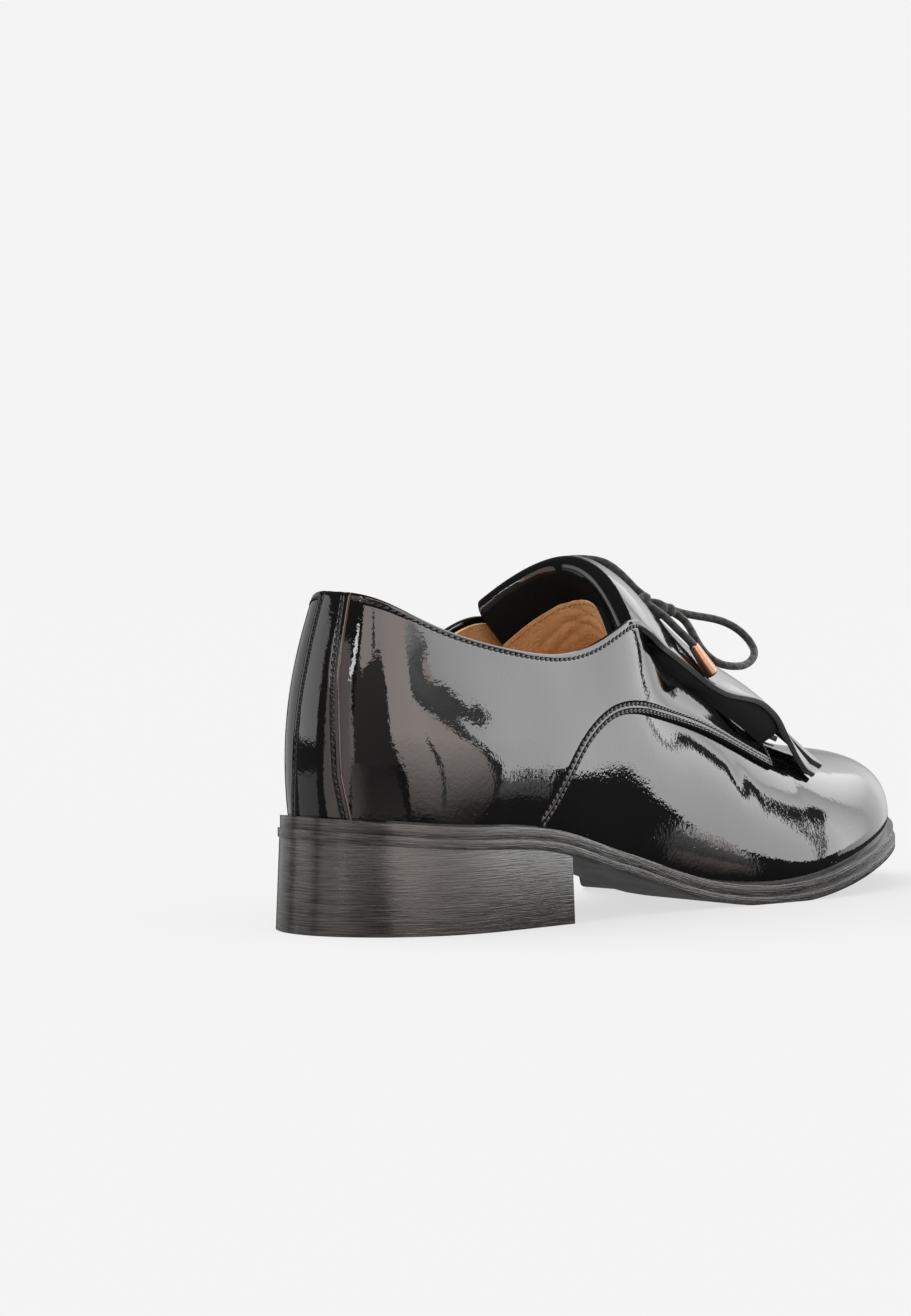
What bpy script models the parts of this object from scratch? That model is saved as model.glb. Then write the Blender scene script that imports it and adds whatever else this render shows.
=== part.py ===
"""A right-foot lace-up derby shoe in black patent leather, with a fringed kiltie folded over its tongue.

Tables are in millimetres, measured from the back of the heel: X runs to the toe, Y to the inner side
of the foot, Z up from the floor. A root empty shifts everything so that the middle of the shoe's
footprint is the origin.
"""
import math

import bmesh
import bpy
import numpy as np
from mathutils import Matrix, Vector

MM = 0.001
MERGE_DISTANCE = 0.00001

# Driving sizes
OUTSOLE_THICK = 2.4
MIDSOLE_THICK = 3.2
MIDSOLE_INSET = 0.6
HEEL_BREAST_X = 69.0
HEEL_INSET = 0.4
HEEL_FLARE = 0.9
INSOLE_THICK = 2.0
INSOLE_INSET = 6.8
UPPER_WALL = 1.6
OVERLAY_THICK = 1.2
BACKSTRIP_THICK = 1.5
TONGUE_THICK = 2.2
KILTIE_THICK = 2.0
LACE_DIAMETER = 2.6
AGLET_DIAMETER = 4.4
GAP = 0.3
OVERLAY_GAP = 0.5
INSOLE_GAP = 0.9
FEATHER_GAP = 0.6
LACE_GAP = 0.9

# Floor line of the sole: height of the outsole's underside along the shoe, dipping below the floor
# where the tread is ground flat under the ball
TREAD_SKEW = 0.2
TREAD = (  # x, height
    (-6.0, 24.6), (37.0, 21.2), (72.0, 18.3), (90.0, 13.6), (108.0, 8.9), (122.0, 4.9),
    (136.0, 1.7), (150.0, 0.0), (164.0, -0.5), (178.0, 0.4), (192.0, 2.5), (207.0, 5.4),
    (225.0, 9.0), (245.0, 12.2), (268.0, 15.0),
)
ARCH_LIFT = 8.5
ARCH_X = 114.0
ARCH_SPAN = 26.0
ARCH_REACH = 20.0
ARCH_LIMIT = 1.2

# Outline of the sole seen from below, from the heel along the outer side to the toe and back
OUTLINE_POINTS = 480
SOLE_OUTLINE = (  # x, y
    (0.0, 1.0), (8.0, -17.5), (28.0, -28.3), (50.0, -30.0), (69.0, -30.2), (90.0, -29.6),
    (110.0, -30.2), (130.0, -32.4), (150.0, -35.4), (170.0, -37.4), (188.0, -37.0),
    (206.0, -33.6), (224.0, -27.0), (241.0, -16.5), (254.5, -4.0), (262.5, 10.0), (260.0, 22.0),
    (248.0, 33.0), (228.0, 41.0), (206.0, 45.0), (186.0, 45.5), (168.0, 42.0), (150.0, 31.5),
    (132.0, 20.5), (112.0, 17.5), (90.0, 20.5), (69.0, 25.0), (48.0, 28.0), (26.0, 27.6), (8.0, 18.8),
)

# Sections of the last from the heel back (row 0) to the toe tip (row 12). Each section is a curve in an
# upright half plane that leaves the spine point at a heading: -90 looks back, 0 sideways, 90 ahead.
# feather: how far the upper stands in from the sole's edge; top_reach, top_height: the collar, facing
# or crest; low_out, low_up and high_out, high_drop: the handles of the curve at its foot and head
HEEL_TURN = 3.0
HEEL_TURN_ROWS = 4.0
MEDIAL_RISE = 3.0
ARCH_BELLY = 0.6
SECTION_COLUMNS = ("spine_x", "spine_y", "heading", "feather", "top_reach", "top_height",
                   "low_out", "low_up", "high_out", "high_drop")
SECTIONS = (
    (30.0, 0.0, -90.0, 4.0, 19.0, 86.0, 2.6, 24.0, 4.6, 14.0),
    (30.0, 0.0, -52.0, 4.0, 18.6, 83.6, 2.6, 24.0, 4.4, 14.0),
    (36.0, 0.4, -20.0, 4.0, 20.4, 76.4, 2.6, 22.0, 3.4, 13.0),
    (58.0, 1.2, -5.0, 3.8, 24.0, 70.7, 2.4, 20.0, 2.4, 13.0),
    (82.0, 3.0, 0.0, 3.4, 25.6, 71.0, 1.4, 20.0, 4.0, 13.0),
    (104.0, 4.6, 0.0, 3.2, 25.0, 76.5, 1.0, 18.0, 6.0, 13.0),
    (125.0, 5.2, 0.0, 3.0, 15.0, 69.0, 2.0, 18.0, 14.0, 9.0),
    (150.0, 5.4, 0.0, 2.8, 9.5, 57.5, 2.5, 15.0, 18.0, 6.0),
    (175.0, 5.6, 3.0, 2.6, 0.0, 48.5, 2.5, 12.0, 22.0, 1.0),
    (196.0, 5.8, 10.0, 2.5, 0.0, 43.0, 2.5, 11.0, 23.0, 0.5),
    (213.0, 6.2, 27.0, 2.4, 0.0, 40.8, 2.0, 12.0, 23.5, 0.6),
    (224.0, 6.6, 57.0, 2.4, 0.0, 39.8, 1.5, 12.0, 21.0, 1.4),
    (227.0, 7.0, 90.0, 2.4, 0.0, 39.5, 1.0, 12.0, 19.5, 2.0),
)
LAST_ROW = len(SECTIONS) - 1
SLOT_END_ROW = 8.0
UPPER_STEPS = 40
UPPER_LEVELS = 9
SOLE_COLUMNS = 7
HEEL_STEPS = 16

# Lower edge of a quarter on the last: section row, and share of the way up that section
QUARTER_BACK_ROW = 0.58
QUARTER_TIP_ROW = 7.95
SEAM = (  # row, rise
    (3.1, 0.015), (3.3, 0.15), (3.45, 0.32), (3.72, 0.50), (4.0, 0.60), (4.4, 0.62), (5.05, 0.60),
    (6.07, 0.64), (6.83, 0.67), (7.68, 0.665), (8.0, 0.64),
)
FACING = (  # row, rise
    (0.0, 1.0), (6.8, 1.0), (8.0, 0.82),
)
BACK_STRETCH_ROWS = 2.0
STRIP_ROOM_ROWS = 0.03
QUARTER_STEPS = 34
QUARTER_LEVELS = 6
BACKSTRIP_HALF = (  # rise, row
    (0.015, 0.57), (0.15, 0.46), (0.6, 0.37), (1.0, 0.38),
)
BACKSTRIP_STEPS = 8
BACKSTRIP_LEVELS = 9
FOOT_LINE_START = 30.0
FOOT_LINE_END = 200.0
FOOT_LINE_HEIGHT = 35.0

# Sheets that bridge the throat, each a row of arches: place of the crown, half width, how far the edges
# hang below the crown, how far they are swept back, and how much higher the inner edge is
TONGUE = (  # x, y, z, half_width, drop, sweep, tilt
    (186.0, 5.6, 40.6, 14.0, 4.0, 0.0, 0.0), (170.0, 5.5, 45.6, 15.0, 4.5, 0.0, 0.0),
    (150.0, 5.3, 54.3, 17.0, 7.0, 0.0, 0.4), (134.0, 5.1, 63.5, 18.5, 9.5, 2.0, 0.8),
    (122.0, 5.0, 74.0, 19.5, 12.0, 6.0, 1.2), (114.9, 5.0, 83.3, 20.3, 12.8, 8.9, 1.5),
)
KILTIE = (  # x, y, z, half_width, drop, sweep, tilt
    (113.9, 5.0, 84.9, 20.5, 13.0, 9.0, 1.5), (111.2, 5.0, 88.6, 21.5, 13.5, 9.5, 1.5),
    (110.0, 5.0, 91.6, 22.5, 13.5, 10.0, 1.5), (111.0, 5.0, 94.3, 23.5, 13.5, 10.0, 1.5),
    (114.8, 5.0, 95.2, 25.0, 14.0, 10.0, 1.5), (121.0, 5.0, 92.3, 27.2, 16.0, 10.0, 1.5),
    (130.0, 5.0, 86.3, 27.2, 15.5, 8.5, 1.5), (141.0, 5.0, 79.7, 24.8, 14.0, 6.0, 1.5),
    (156.0, 5.0, 71.5, 23.4, 12.5, 3.0, 1.5), (171.0, 5.0, 64.0, 22.5, 8.5, 0.0, 1.0),
    (184.0, 5.2, 56.0, 22.0, 8.5, 0.0, 0.5), (195.0, 5.4, 48.6, 22.5, 7.5, 0.0, 0.0),
    (204.0, 5.6, 44.4, 23.0, 6.0, 0.0, 0.0),
)
FRINGE_STRIPS = 7
FRINGE_SLOT = 0.22
FRINGE_ROWS = 7
KILTIE_ROWS = 34
FOLD_CROWDING = 1.6
TONGUE_ROWS = 14
TONGUE_COLUMNS = 12

# The lace: bars between pairs of eyelets on the facings, then the routes of the bow
EYELET_ROWS = (7.0, 6.2)
EYELET_RISE = 0.93
BAR_CROWN = 6.0
CORNER_ROOM = 1.2
KNOT_CENTRE = (142.5, -2.0, 82.55)
KNOT_HALF = (6.5, 5.0, 3.0)
KNOT_TILT = 31.0
LOOP_NEAR = (
    (148.7, -3.0, 80.6), (155.9, -6.0, 79.4), (161.9, -9.0, 78.2), (167.1, -13.0, 74.8),
    (168.2, -16.0, 71.1), (166.4, -18.0, 68.6), (161.1, -19.0, 65.9), (155.7, -19.0, 65.4),
    (150.8, -17.0, 66.3), (147.6, -14.0, 69.7), (147.6, -10.5, 74.2), (148.6, -7.0, 77.6),
)
LOOP_FAR = (
    (136.7, 0.8, 85.8), (136.6, 4.2, 89.0), (136.2, 8.0, 92.2), (135.5, 11.5, 94.3), (132.0, 15.0, 95.4),
    (126.0, 19.0, 94.8), (121.0, 22.5, 92.3), (119.0, 25.5, 88.6), (122.0, 26.5, 85.6),
    (129.0, 24.5, 84.2), (136.0, 19.0, 83.6), (140.5, 12.0, 83.2), (141.8, 3.7, 83.2),
)
END_NEAR = (
    (137.3, -5.7, 84.2), (134.9, -10.2, 80.7), (135.0, -14.4, 76.4), (136.9, -19.1, 71.2),
)
AGLET_NEAR = (
    (137.2, -19.4, 70.7), (139.8, -20.9, 67.3), (143.4, -22.3, 63.6),
)
END_FAR = (
    (146.1, 2.8, 81.9), (150.0, 8.0, 79.4), (153.6, 13.0, 76.0), (157.0, 17.5, 72.5),
)
AGLET_FAR = (
    (157.4, 18.0, 72.1), (161.0, 21.5, 69.0), (165.0, 24.5, 65.5),
)
LACE_STEP = 6.0


def natural_spline(knots, values):
    """Return the natural cubic spline through the values at the knots, as a function."""
    knots = np.asarray(knots, dtype=float)
    values = np.asarray(values, dtype=float)
    steps = np.diff(knots)
    slopes = np.diff(values) / steps
    count = len(knots)
    matrix = np.eye(count)
    bending = np.zeros(count)
    for row in range(1, count - 1):
        matrix[row, row - 1:row + 2] = steps[row - 1], 2.0 * (steps[row - 1] + steps[row]), steps[row]
        bending[row] = 6.0 * (slopes[row] - slopes[row - 1])
    bending = np.linalg.solve(matrix, bending)

    def evaluate(at):
        at = np.asarray(at, dtype=float)
        cell = np.clip(np.searchsorted(knots, at) - 1, 0, count - 2)
        step = steps[cell]
        done = at - knots[cell]
        left = knots[cell + 1] - at
        cubic = (bending[cell] * left ** 3 + bending[cell + 1] * done ** 3) / (6.0 * step)
        start = (values[cell] / step - bending[cell] * step / 6.0) * left
        end = (values[cell + 1] / step - bending[cell + 1] * step / 6.0) * done
        return cubic + start + end

    return evaluate


def curve_through(points, step):
    """Return points about a step apart on a smooth curve through the given points."""
    points = np.asarray(points, dtype=float)
    lengths = np.linalg.norm(np.diff(points, axis=0), axis=1)
    knots = np.concatenate(([0.0], np.cumsum(lengths)))
    at = np.linspace(0.0, knots[-1], max(4, int(round(knots[-1] / step)) + 1))
    return np.stack([natural_spline(knots, column)(at) for column in points.T], axis=1)


def closed_curve(points, count):
    """Return evenly spaced points on a smooth closed curve through the given points."""
    points = np.asarray(points, dtype=float)
    wrap = 4
    padded = np.concatenate((points[-wrap:], points, points[:wrap + 1]))
    lengths = np.linalg.norm(np.diff(padded, axis=0), axis=1)
    knots = np.concatenate(([0.0], np.cumsum(lengths)))
    start = knots[wrap]
    end = knots[wrap + len(points)]
    at = np.linspace(start, end, count, endpoint=False)
    return np.stack([natural_spline(knots, column)(at) for column in padded.T], axis=1)


OUTLINE = closed_curve(SOLE_OUTLINE, OUTLINE_POINTS)
TREAD_LINE = natural_spline(*np.array(TREAD).T)


def tread_height(x, y):
    """Height of the line that the outsole's underside follows, before it is ground flat."""
    arch = ARCH_LIFT * np.exp(-((x - ARCH_X) / ARCH_SPAN) ** 2)
    return TREAD_LINE(x - TREAD_SKEW * y) + arch * np.clip(y / ARCH_REACH, 0.0, ARCH_LIMIT) ** 2


def outline_reach(origin, direction):
    """Distance from each origin to the sole's edge along its direction, seen from above."""
    start = OUTLINE
    run = np.roll(OUTLINE, -1, axis=0) - OUTLINE
    reach = np.empty(len(origin))
    for index, (point, aim) in enumerate(zip(origin, direction)):
        across = run[:, 0] * aim[1] - run[:, 1] * aim[0]
        offset = point - start
        share = (offset[:, 0] * aim[1] - offset[:, 1] * aim[0]) / across
        distance = (offset[:, 0] * run[:, 1] - offset[:, 1] * run[:, 0]) / across
        hits = (share >= 0.0) & (share <= 1.0) & (distance > 0.0)
        reach[index] = distance[hits].min()
    return reach


def section_column(name, rows, mirror=None):
    """Read one column of the sections at fractional rows, carried smoothly round heel and toe."""
    values = np.array(SECTIONS)[:, SECTION_COLUMNS.index(name)]
    before = values[2:0:-1]
    after = values[-2:-4:-1]
    if mirror is not None:
        before = 2.0 * mirror[0] - before
        after = 2.0 * mirror[1] - after
    knots = np.arange(-2, len(values) + 2)
    return natural_spline(knots, np.concatenate((before, values, after)))(rows)


def spine_and_heading(side, rows):
    """Spine points and outward directions of the sections; side is -1 outside, 1 inside the foot."""
    spine = np.stack((section_column("spine_x", rows), section_column("spine_y", rows)), axis=1)
    fade = np.clip(1.0 - rows / HEEL_TURN_ROWS, 0.0, 1.0) ** 2
    heading = np.radians(section_column("heading", rows, (-90.0, 90.0)) + side * HEEL_TURN * fade)
    aim = np.stack((np.sin(heading), side * np.cos(heading)), axis=1)
    return spine, aim


def feather_reach(side, rows):
    """Distance from the spine to the foot of the upper, just inside the sole's edge."""
    return outline_reach(*spine_and_heading(side, rows)) - section_column("feather", rows)


def last_surface(side, rows, rises):
    """Points of the upper's outer face: section rows by shares of the way up from sole to top edge."""
    rows = np.asarray(rows, dtype=float)
    spine, aim = spine_and_heading(side, rows)
    foot_reach = feather_reach(side, rows)
    foot = spine + aim * foot_reach[:, None]
    foot_height = tread_height(foot[:, 0], foot[:, 1]) + OUTSOLE_THICK + MIDSOLE_THICK + FEATHER_GAP
    top_reach = np.maximum(section_column("top_reach", rows), 0.0)
    top_reach = np.where(rows >= SLOT_END_ROW, 0.0, top_reach)
    top_height = section_column("top_height", rows)
    low_out = section_column("low_out", rows)
    if side > 0:
        top_height += MEDIAL_RISE * np.sin(np.pi * np.clip(rows / SLOT_END_ROW, 0.0, 1.0))
        low_out += ARCH_BELLY * np.maximum(feather_reach(-1, rows) - foot_reach, 0.0)
    reach = np.stack((foot_reach, foot_reach + low_out,
                      top_reach + section_column("high_out", rows), top_reach), axis=1)
    height = np.stack((foot_height, foot_height + section_column("low_up", rows),
                       top_height - section_column("high_drop", rows), top_height), axis=1)
    rises = np.asarray(rises, dtype=float)
    weights = np.stack(((1.0 - rises) ** 3, 3.0 * rises * (1.0 - rises) ** 2,
                        3.0 * rises ** 2 * (1.0 - rises), rises ** 3), axis=-1)
    if rises.ndim == 1:
        weights = np.broadcast_to(weights, (len(rows),) + weights.shape)
    out = np.einsum("rlk,rk->rl", weights, reach)
    up = np.einsum("rlk,rk->rl", weights, height)
    flat = spine[:, None, :] + aim[:, None, :] * out[:, :, None]
    return np.concatenate((flat, up[:, :, None]), axis=2)


def last_offset(side, rows, rises, distance):
    """Points a distance outside the last's surface, along its normals."""
    nudge = 0.01
    rows = np.asarray(rows, dtype=float)
    rises = np.asarray(rises, dtype=float)
    points = last_surface(side, rows, rises)
    along = last_surface(side, rows + nudge, rises) - last_surface(side, rows - nudge, rises)
    upward = last_surface(side, rows, rises + nudge) - last_surface(side, rows, rises - nudge)
    normal = np.cross(along, upward) * -side
    normal /= np.linalg.norm(normal, axis=2, keepdims=True)
    return points + normal * distance


def footprint_middle():
    """Middle of the box round the sole and the flared heel, seen from above."""
    low = OUTLINE.min(axis=0)
    low[0] -= HEEL_FLARE - HEEL_INSET
    return (low + OUTLINE.max(axis=0)) / 2.0


def clear_scene():
    """Remove every object that the scene starts with."""
    for item in list(bpy.data.objects):
        bpy.data.objects.remove(item, do_unlink=True)


def make_material(name, colour, roughness, metallic=0.0):
    """Make a plain Principled material."""
    material = bpy.data.materials.new(name)
    material.use_nodes = True
    shader = material.node_tree.nodes["Principled BSDF"]
    shader.inputs["Base Color"].default_value = (*colour, 1.0)
    shader.inputs["Roughness"].default_value = roughness
    shader.inputs["Metallic"].default_value = metallic
    return material


def add_object(name, mesh, material, root):
    """Put a mesh in the scene as a named piece of the shoe."""
    piece = bpy.data.objects.new(name, mesh)
    bpy.context.scene.collection.objects.link(piece)
    piece.data.materials.append(material)
    piece.parent = root
    return piece


def mesh_from(name, points, faces, smooth_angle=40.0):
    """Build a mesh from points in millimetres, with its faces turned outward."""
    mesh = bpy.data.meshes.new(name)
    mesh.from_pydata([tuple(MM * value for value in point) for point in points], [], faces)
    shaper = bmesh.new()
    shaper.from_mesh(mesh)
    bmesh.ops.remove_doubles(shaper, verts=shaper.verts, dist=MERGE_DISTANCE)
    bmesh.ops.dissolve_degenerate(shaper, edges=shaper.edges, dist=MERGE_DISTANCE)
    bmesh.ops.recalc_face_normals(shaper, faces=shaper.faces)
    shaper.to_mesh(mesh)
    shaper.free()
    mesh.shade_smooth()
    mesh.set_sharp_from_angle(angle=math.radians(smooth_angle))
    return mesh


def grid_faces(rows, columns, closed=False, skip=()):
    """List the quads of a grid of points, leaving out the skipped cells."""
    faces = []
    for row in range(rows if closed else rows - 1):
        onward = (row + 1) % rows
        for column in range(columns - 1):
            if (row, column) not in skip:
                first = row * columns + column
                second = onward * columns + column
                faces.append((first, second, second + 1, first + 1))
    return faces


def add_thickness(piece, thickness, offset):
    """Give an open sheet its wall; offset 1 grows outward and -1 inward."""
    wall = piece.modifiers.new("wall", "SOLIDIFY")
    wall.thickness = thickness * MM
    wall.offset = offset
    wall.use_even_offset = True
    wall.use_rim = True


def slab(name, inset, rows, low, high, flare=0.0):
    """Close a slab of the sole between two height functions, as a ladder of rungs across the foot."""
    shares = np.linspace(0.0, 1.0, SOLE_COLUMNS)
    layers = []
    for height, grow in ((low, flare), (high, 0.0)):
        sides = []
        for side in (-1, 1):
            spine, aim = spine_and_heading(side, rows)
            sides.append(spine + aim * (outline_reach(spine, aim) - inset + grow)[:, None])
        sides[0][0] = sides[1][0] = (sides[0][0] + sides[1][0]) / 2.0
        rungs = sides[0][:, None] + (sides[1] - sides[0])[:, None] * shares[None, :, None]
        layers.append(np.concatenate((rungs, height(rungs[..., 0], rungs[..., 1])[..., None]), axis=2))
    grid = np.concatenate((layers[0], layers[1][:, ::-1]), axis=1)
    wide = 2 * SOLE_COLUMNS
    faces = []
    for row in range(len(rows) - 1):
        for column in range(wide):
            corner = row * wide + column
            beside = row * wide + (column + 1) % wide
            if column < SOLE_COLUMNS:
                faces.extend(((corner, beside, beside + wide), (corner, beside + wide, corner + wide)))
            else:
                faces.extend(((corner, beside, corner + wide), (beside, beside + wide, corner + wide)))
    for first in (0, (len(rows) - 1) * wide):
        for column in range(SOLE_COLUMNS - 1):
            across = wide - 1 - column
            faces.append((first + column, first + column + 1, first + across - 1, first + across))
    return mesh_from(name, grid.reshape(-1, 3), faces)


def build_sole(root, materials):
    """Build the outsole, midsole, insole and heel as slabs that follow the tread line."""
    rows = np.linspace(0.0, LAST_ROW, UPPER_STEPS + 1)

    def ground(x, y):
        return np.maximum(tread_height(x, y), 0.0)

    def outsole_top(x, y):
        return tread_height(x, y) + OUTSOLE_THICK

    def midsole_low(x, y):
        return outsole_top(x, y) + GAP

    def midsole_top(x, y):
        return outsole_top(x, y) + MIDSOLE_THICK

    def insole_low(x, y):
        return midsole_top(x, y) + INSOLE_GAP

    def insole_top(x, y):
        return insole_low(x, y) + INSOLE_THICK

    outsole = slab("outsole", 0.0, rows, ground, outsole_top)
    add_object("outsole", outsole, materials["sole"], root)
    midsole = slab("midsole", MIDSOLE_INSET, rows, midsole_low, midsole_top)
    add_object("midsole", midsole, materials["sole"], root)
    insole = slab("insole", INSOLE_INSET, rows, insole_low, insole_top)
    add_object("insole", insole, materials["lining"], root)
    build_heel(root, materials)


def build_heel(root, materials):
    """Build the stacked heel under the seat, cut straight across at its breast."""
    breast_row = np.interp(HEEL_BREAST_X, [section[0] for section in SECTIONS[2:5]], (2.0, 3.0, 4.0))
    rows = np.linspace(0.0, breast_row, HEEL_STEPS + 1)

    def ground(x, y):
        return 0.0 * x

    def seat(x, y):
        return tread_height(x, y) - GAP

    heel = slab("heel", HEEL_INSET, rows, ground, seat, flare=HEEL_FLARE)
    add_object("heel", heel, materials["sole"], root)


def build_upper(root, materials):
    """Build the hollow upper as one wall round the last, open at collar, throat and sole."""
    rows = np.linspace(0.0, LAST_ROW, UPPER_STEPS + 1)
    rises = np.linspace(0.0, 1.0, UPPER_LEVELS)
    lateral = last_surface(-1, rows, rises)
    medial = last_surface(1, rows, rises)
    grid = np.concatenate((lateral, medial[-2:0:-1]))
    faces = grid_faces(len(grid), UPPER_LEVELS, closed=True)
    mesh = mesh_from("upper", grid.reshape(-1, 3), faces)
    upper = add_object("upper", mesh, materials["patent"], root)
    add_thickness(upper, UPPER_WALL, -1.0)


def build_overlays(root, materials):
    """Build the two quarters and the backstrip, lying on the upper with a hair of room."""
    rows = np.linspace(QUARTER_BACK_ROW, QUARTER_TIP_ROW, QUARTER_STEPS + 1)
    seam = np.interp(rows, *np.array(SEAM).T)
    facing = np.interp(rows, *np.array(FACING).T)
    shares = np.linspace(0.0, 1.0, QUARTER_LEVELS)
    half_rise = np.array(BACKSTRIP_HALF)
    for side, name in ((-1, "quarter_lateral"), (1, "quarter_medial")):
        rises = seam[:, None] + (facing - seam)[:, None] * shares[None, :]
        back = np.interp(rises, half_rise[:, 0], half_rise[:, 1]) + STRIP_ROOM_ROWS
        stretch = np.clip((rows - QUARTER_BACK_ROW) / BACK_STRETCH_ROWS, 0.0, 1.0)
        grid = np.empty(rises.shape + (3,))
        for level in range(QUARTER_LEVELS):
            shifted = rows + (back[:, level] - QUARTER_BACK_ROW) * (1.0 - stretch)
            grid[:, level] = last_offset(side, shifted, rises[:, level:level + 1], OVERLAY_GAP)[:, 0]
        faces = grid_faces(len(rows), QUARTER_LEVELS)
        mesh = mesh_from(name, grid.reshape(-1, 3), faces)
        turn_away_from_foot(mesh)
        add_thickness(add_object(name, mesh, materials["patent"], root), OVERLAY_THICK, 1.0)
    build_backstrip(root, materials, half_rise)


def build_backstrip(root, materials, half_rise):
    """Build the strip that covers the seam at the back of the heel."""
    rises = np.linspace(half_rise[0, 0], 1.0, BACKSTRIP_LEVELS)
    halves = np.interp(rises, half_rise[:, 0], half_rise[:, 1])
    shares = np.linspace(-1.0, 1.0, BACKSTRIP_STEPS + 1)
    grid = np.empty((len(shares), len(rises), 3))
    for index, share in enumerate(shares):
        side = 1 if share > 0.0 else -1
        for level, rise in enumerate(rises):
            row = np.array([abs(share) * halves[level]])
            grid[index, level] = last_offset(side, row, np.array([rise]), OVERLAY_GAP)[0, 0]
    faces = grid_faces(len(shares), len(rises))
    mesh = mesh_from("backstrip", grid.reshape(-1, 3), faces)
    turn_away_from_foot(mesh)
    add_thickness(add_object("backstrip", mesh, materials["patent"], root), BACKSTRIP_THICK, 1.0)


def turn_away_from_foot(mesh):
    """Turn a sheet's faces away from the line through the middle of the foot's space."""
    total = 0.0
    for face in mesh.polygons:
        middle_x = min(max(face.center.x, FOOT_LINE_START * MM), FOOT_LINE_END * MM)
        away = face.center - Vector((middle_x, 0.0, FOOT_LINE_HEIGHT * MM))
        total += face.area * away.dot(face.normal)
    if total < 0.0:
        mesh.flip_normals()


def sheet_grid(table, rows, shares, crowding=1.0):
    """Spread arches across the throat: rows along the sheet by shares across it, -1 to 1.

    A crowding over 1 sets the rows closer together at the table's start.
    """
    table = np.asarray(table, dtype=float)
    lengths = np.linalg.norm(np.diff(table[:, (0, 2)], axis=0), axis=1)
    knots = np.concatenate(([0.0], np.cumsum(lengths)))
    at = knots[-1] * np.linspace(0.0, 1.0, rows) ** crowding
    columns = (natural_spline(knots, column)(at)[:, None] for column in table.T)
    x, y, z, half, drop, sweep, tilt = columns
    shares = np.asarray(shares)[None, :]
    spread = y + half * shares
    height = z - drop * shares ** 2 + tilt * shares
    return np.stack((x - sweep * shares ** 2, spread, height), axis=2)


def fringe_columns():
    """Places across the kiltie of the strips' edges, with a narrow slot between two strips."""
    columns = []
    pitch = 2.0 / FRINGE_STRIPS
    for strip in range(FRINGE_STRIPS):
        left = -1.0 + strip * pitch
        inset_left = 0.0 if strip == 0 else FRINGE_SLOT * pitch / 2.0
        inset_right = 0.0 if strip == FRINGE_STRIPS - 1 else FRINGE_SLOT * pitch / 2.0
        columns.extend((left + inset_left, left + pitch - inset_right))
    return columns


def build_tongue(root, materials):
    """Build the tongue under the facings and the kiltie that folds forward over it."""
    grid = sheet_grid(TONGUE, TONGUE_ROWS, np.linspace(-1.0, 1.0, TONGUE_COLUMNS + 1))
    mesh = mesh_from("tongue", grid.reshape(-1, 3), grid_faces(grid.shape[0], grid.shape[1]))
    add_thickness(add_object("tongue", mesh, materials["lining"], root), TONGUE_THICK, 0.0)
    grid = sheet_grid(KILTIE, KILTIE_ROWS, fringe_columns(), FOLD_CROWDING)
    slots = {(row, 2 * strip + 1) for row in range(KILTIE_ROWS - FRINGE_ROWS, KILTIE_ROWS)
             for strip in range(FRINGE_STRIPS - 1)}
    mesh = mesh_from("kiltie", grid.reshape(-1, 3), grid_faces(grid.shape[0], grid.shape[1], skip=slots))
    add_thickness(add_object("kiltie", mesh, materials["patent"], root), KILTIE_THICK, 0.0)


def add_cord(name, points, diameter, material, root, step=LACE_STEP):
    """Run a round cord along a route."""
    curve = bpy.data.curves.new(name, "CURVE")
    curve.dimensions = "3D"
    curve.bevel_depth = diameter / 2.0 * MM
    curve.bevel_resolution = 2
    curve.use_fill_caps = True
    route = curve_through(points, step)
    line = curve.splines.new("POLY")
    line.points.add(len(route) - 1)
    for spot, place in zip(line.points, route):
        spot.co = (*(MM * value for value in place), 1.0)
    piece = bpy.data.objects.new(name, curve)
    bpy.context.scene.collection.objects.link(piece)
    curve.materials.append(material)
    piece.parent = root


def lace_bar_route():
    """Route of the lace over the throat: a bar between two pairs of eyelets, joined on the inner side."""
    lift = OVERLAY_GAP + OVERLAY_THICK + LACE_GAP + LACE_DIAMETER / 2.0
    front, back = EYELET_ROWS
    outer = last_offset(-1, [front, back], [EYELET_RISE], lift)[:, 0]
    inner = last_offset(1, [front, back], [EYELET_RISE], lift + CORNER_ROOM)[:, 0]
    run = last_offset(1, [(front + back) / 2.0], [EYELET_RISE], lift)[:, 0]
    crowns = (outer + inner) / 2.0 + (0.0, 0.0, BAR_CROWN)
    return (outer[0], crowns[0], inner[0], run[0], inner[1], crowns[1], outer[1])


def build_lace(root, materials):
    """Build the lace: its run over the throat, the knot, two loops and two tipped ends."""
    add_cord("lace_bars", lace_bar_route(), LACE_DIAMETER, materials["lace"], root)
    for name, route in (("lace_loop_near", LOOP_NEAR), ("lace_loop_far", LOOP_FAR),
                        ("lace_end_near", END_NEAR), ("lace_end_far", END_FAR)):
        add_cord(name, route, LACE_DIAMETER, materials["lace"], root)
    for name, route in (("aglet_near", AGLET_NEAR), ("aglet_far", AGLET_FAR)):
        add_cord(name, route, AGLET_DIAMETER, materials["copper"], root)
    knot = bpy.data.meshes.new("lace_knot")
    shaper = bmesh.new()
    bmesh.ops.create_icosphere(shaper, subdivisions=2, radius=1.0)
    shape = Matrix.Rotation(math.radians(KNOT_TILT), 4, "Y") @ Matrix.Diagonal((*KNOT_HALF, 1.0))
    shaper.transform(Matrix.Scale(MM, 4) @ Matrix.Translation(KNOT_CENTRE) @ shape)
    shaper.to_mesh(knot)
    shaper.free()
    knot.shade_smooth()
    add_object("lace_knot", knot, materials["lace"], root)


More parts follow.
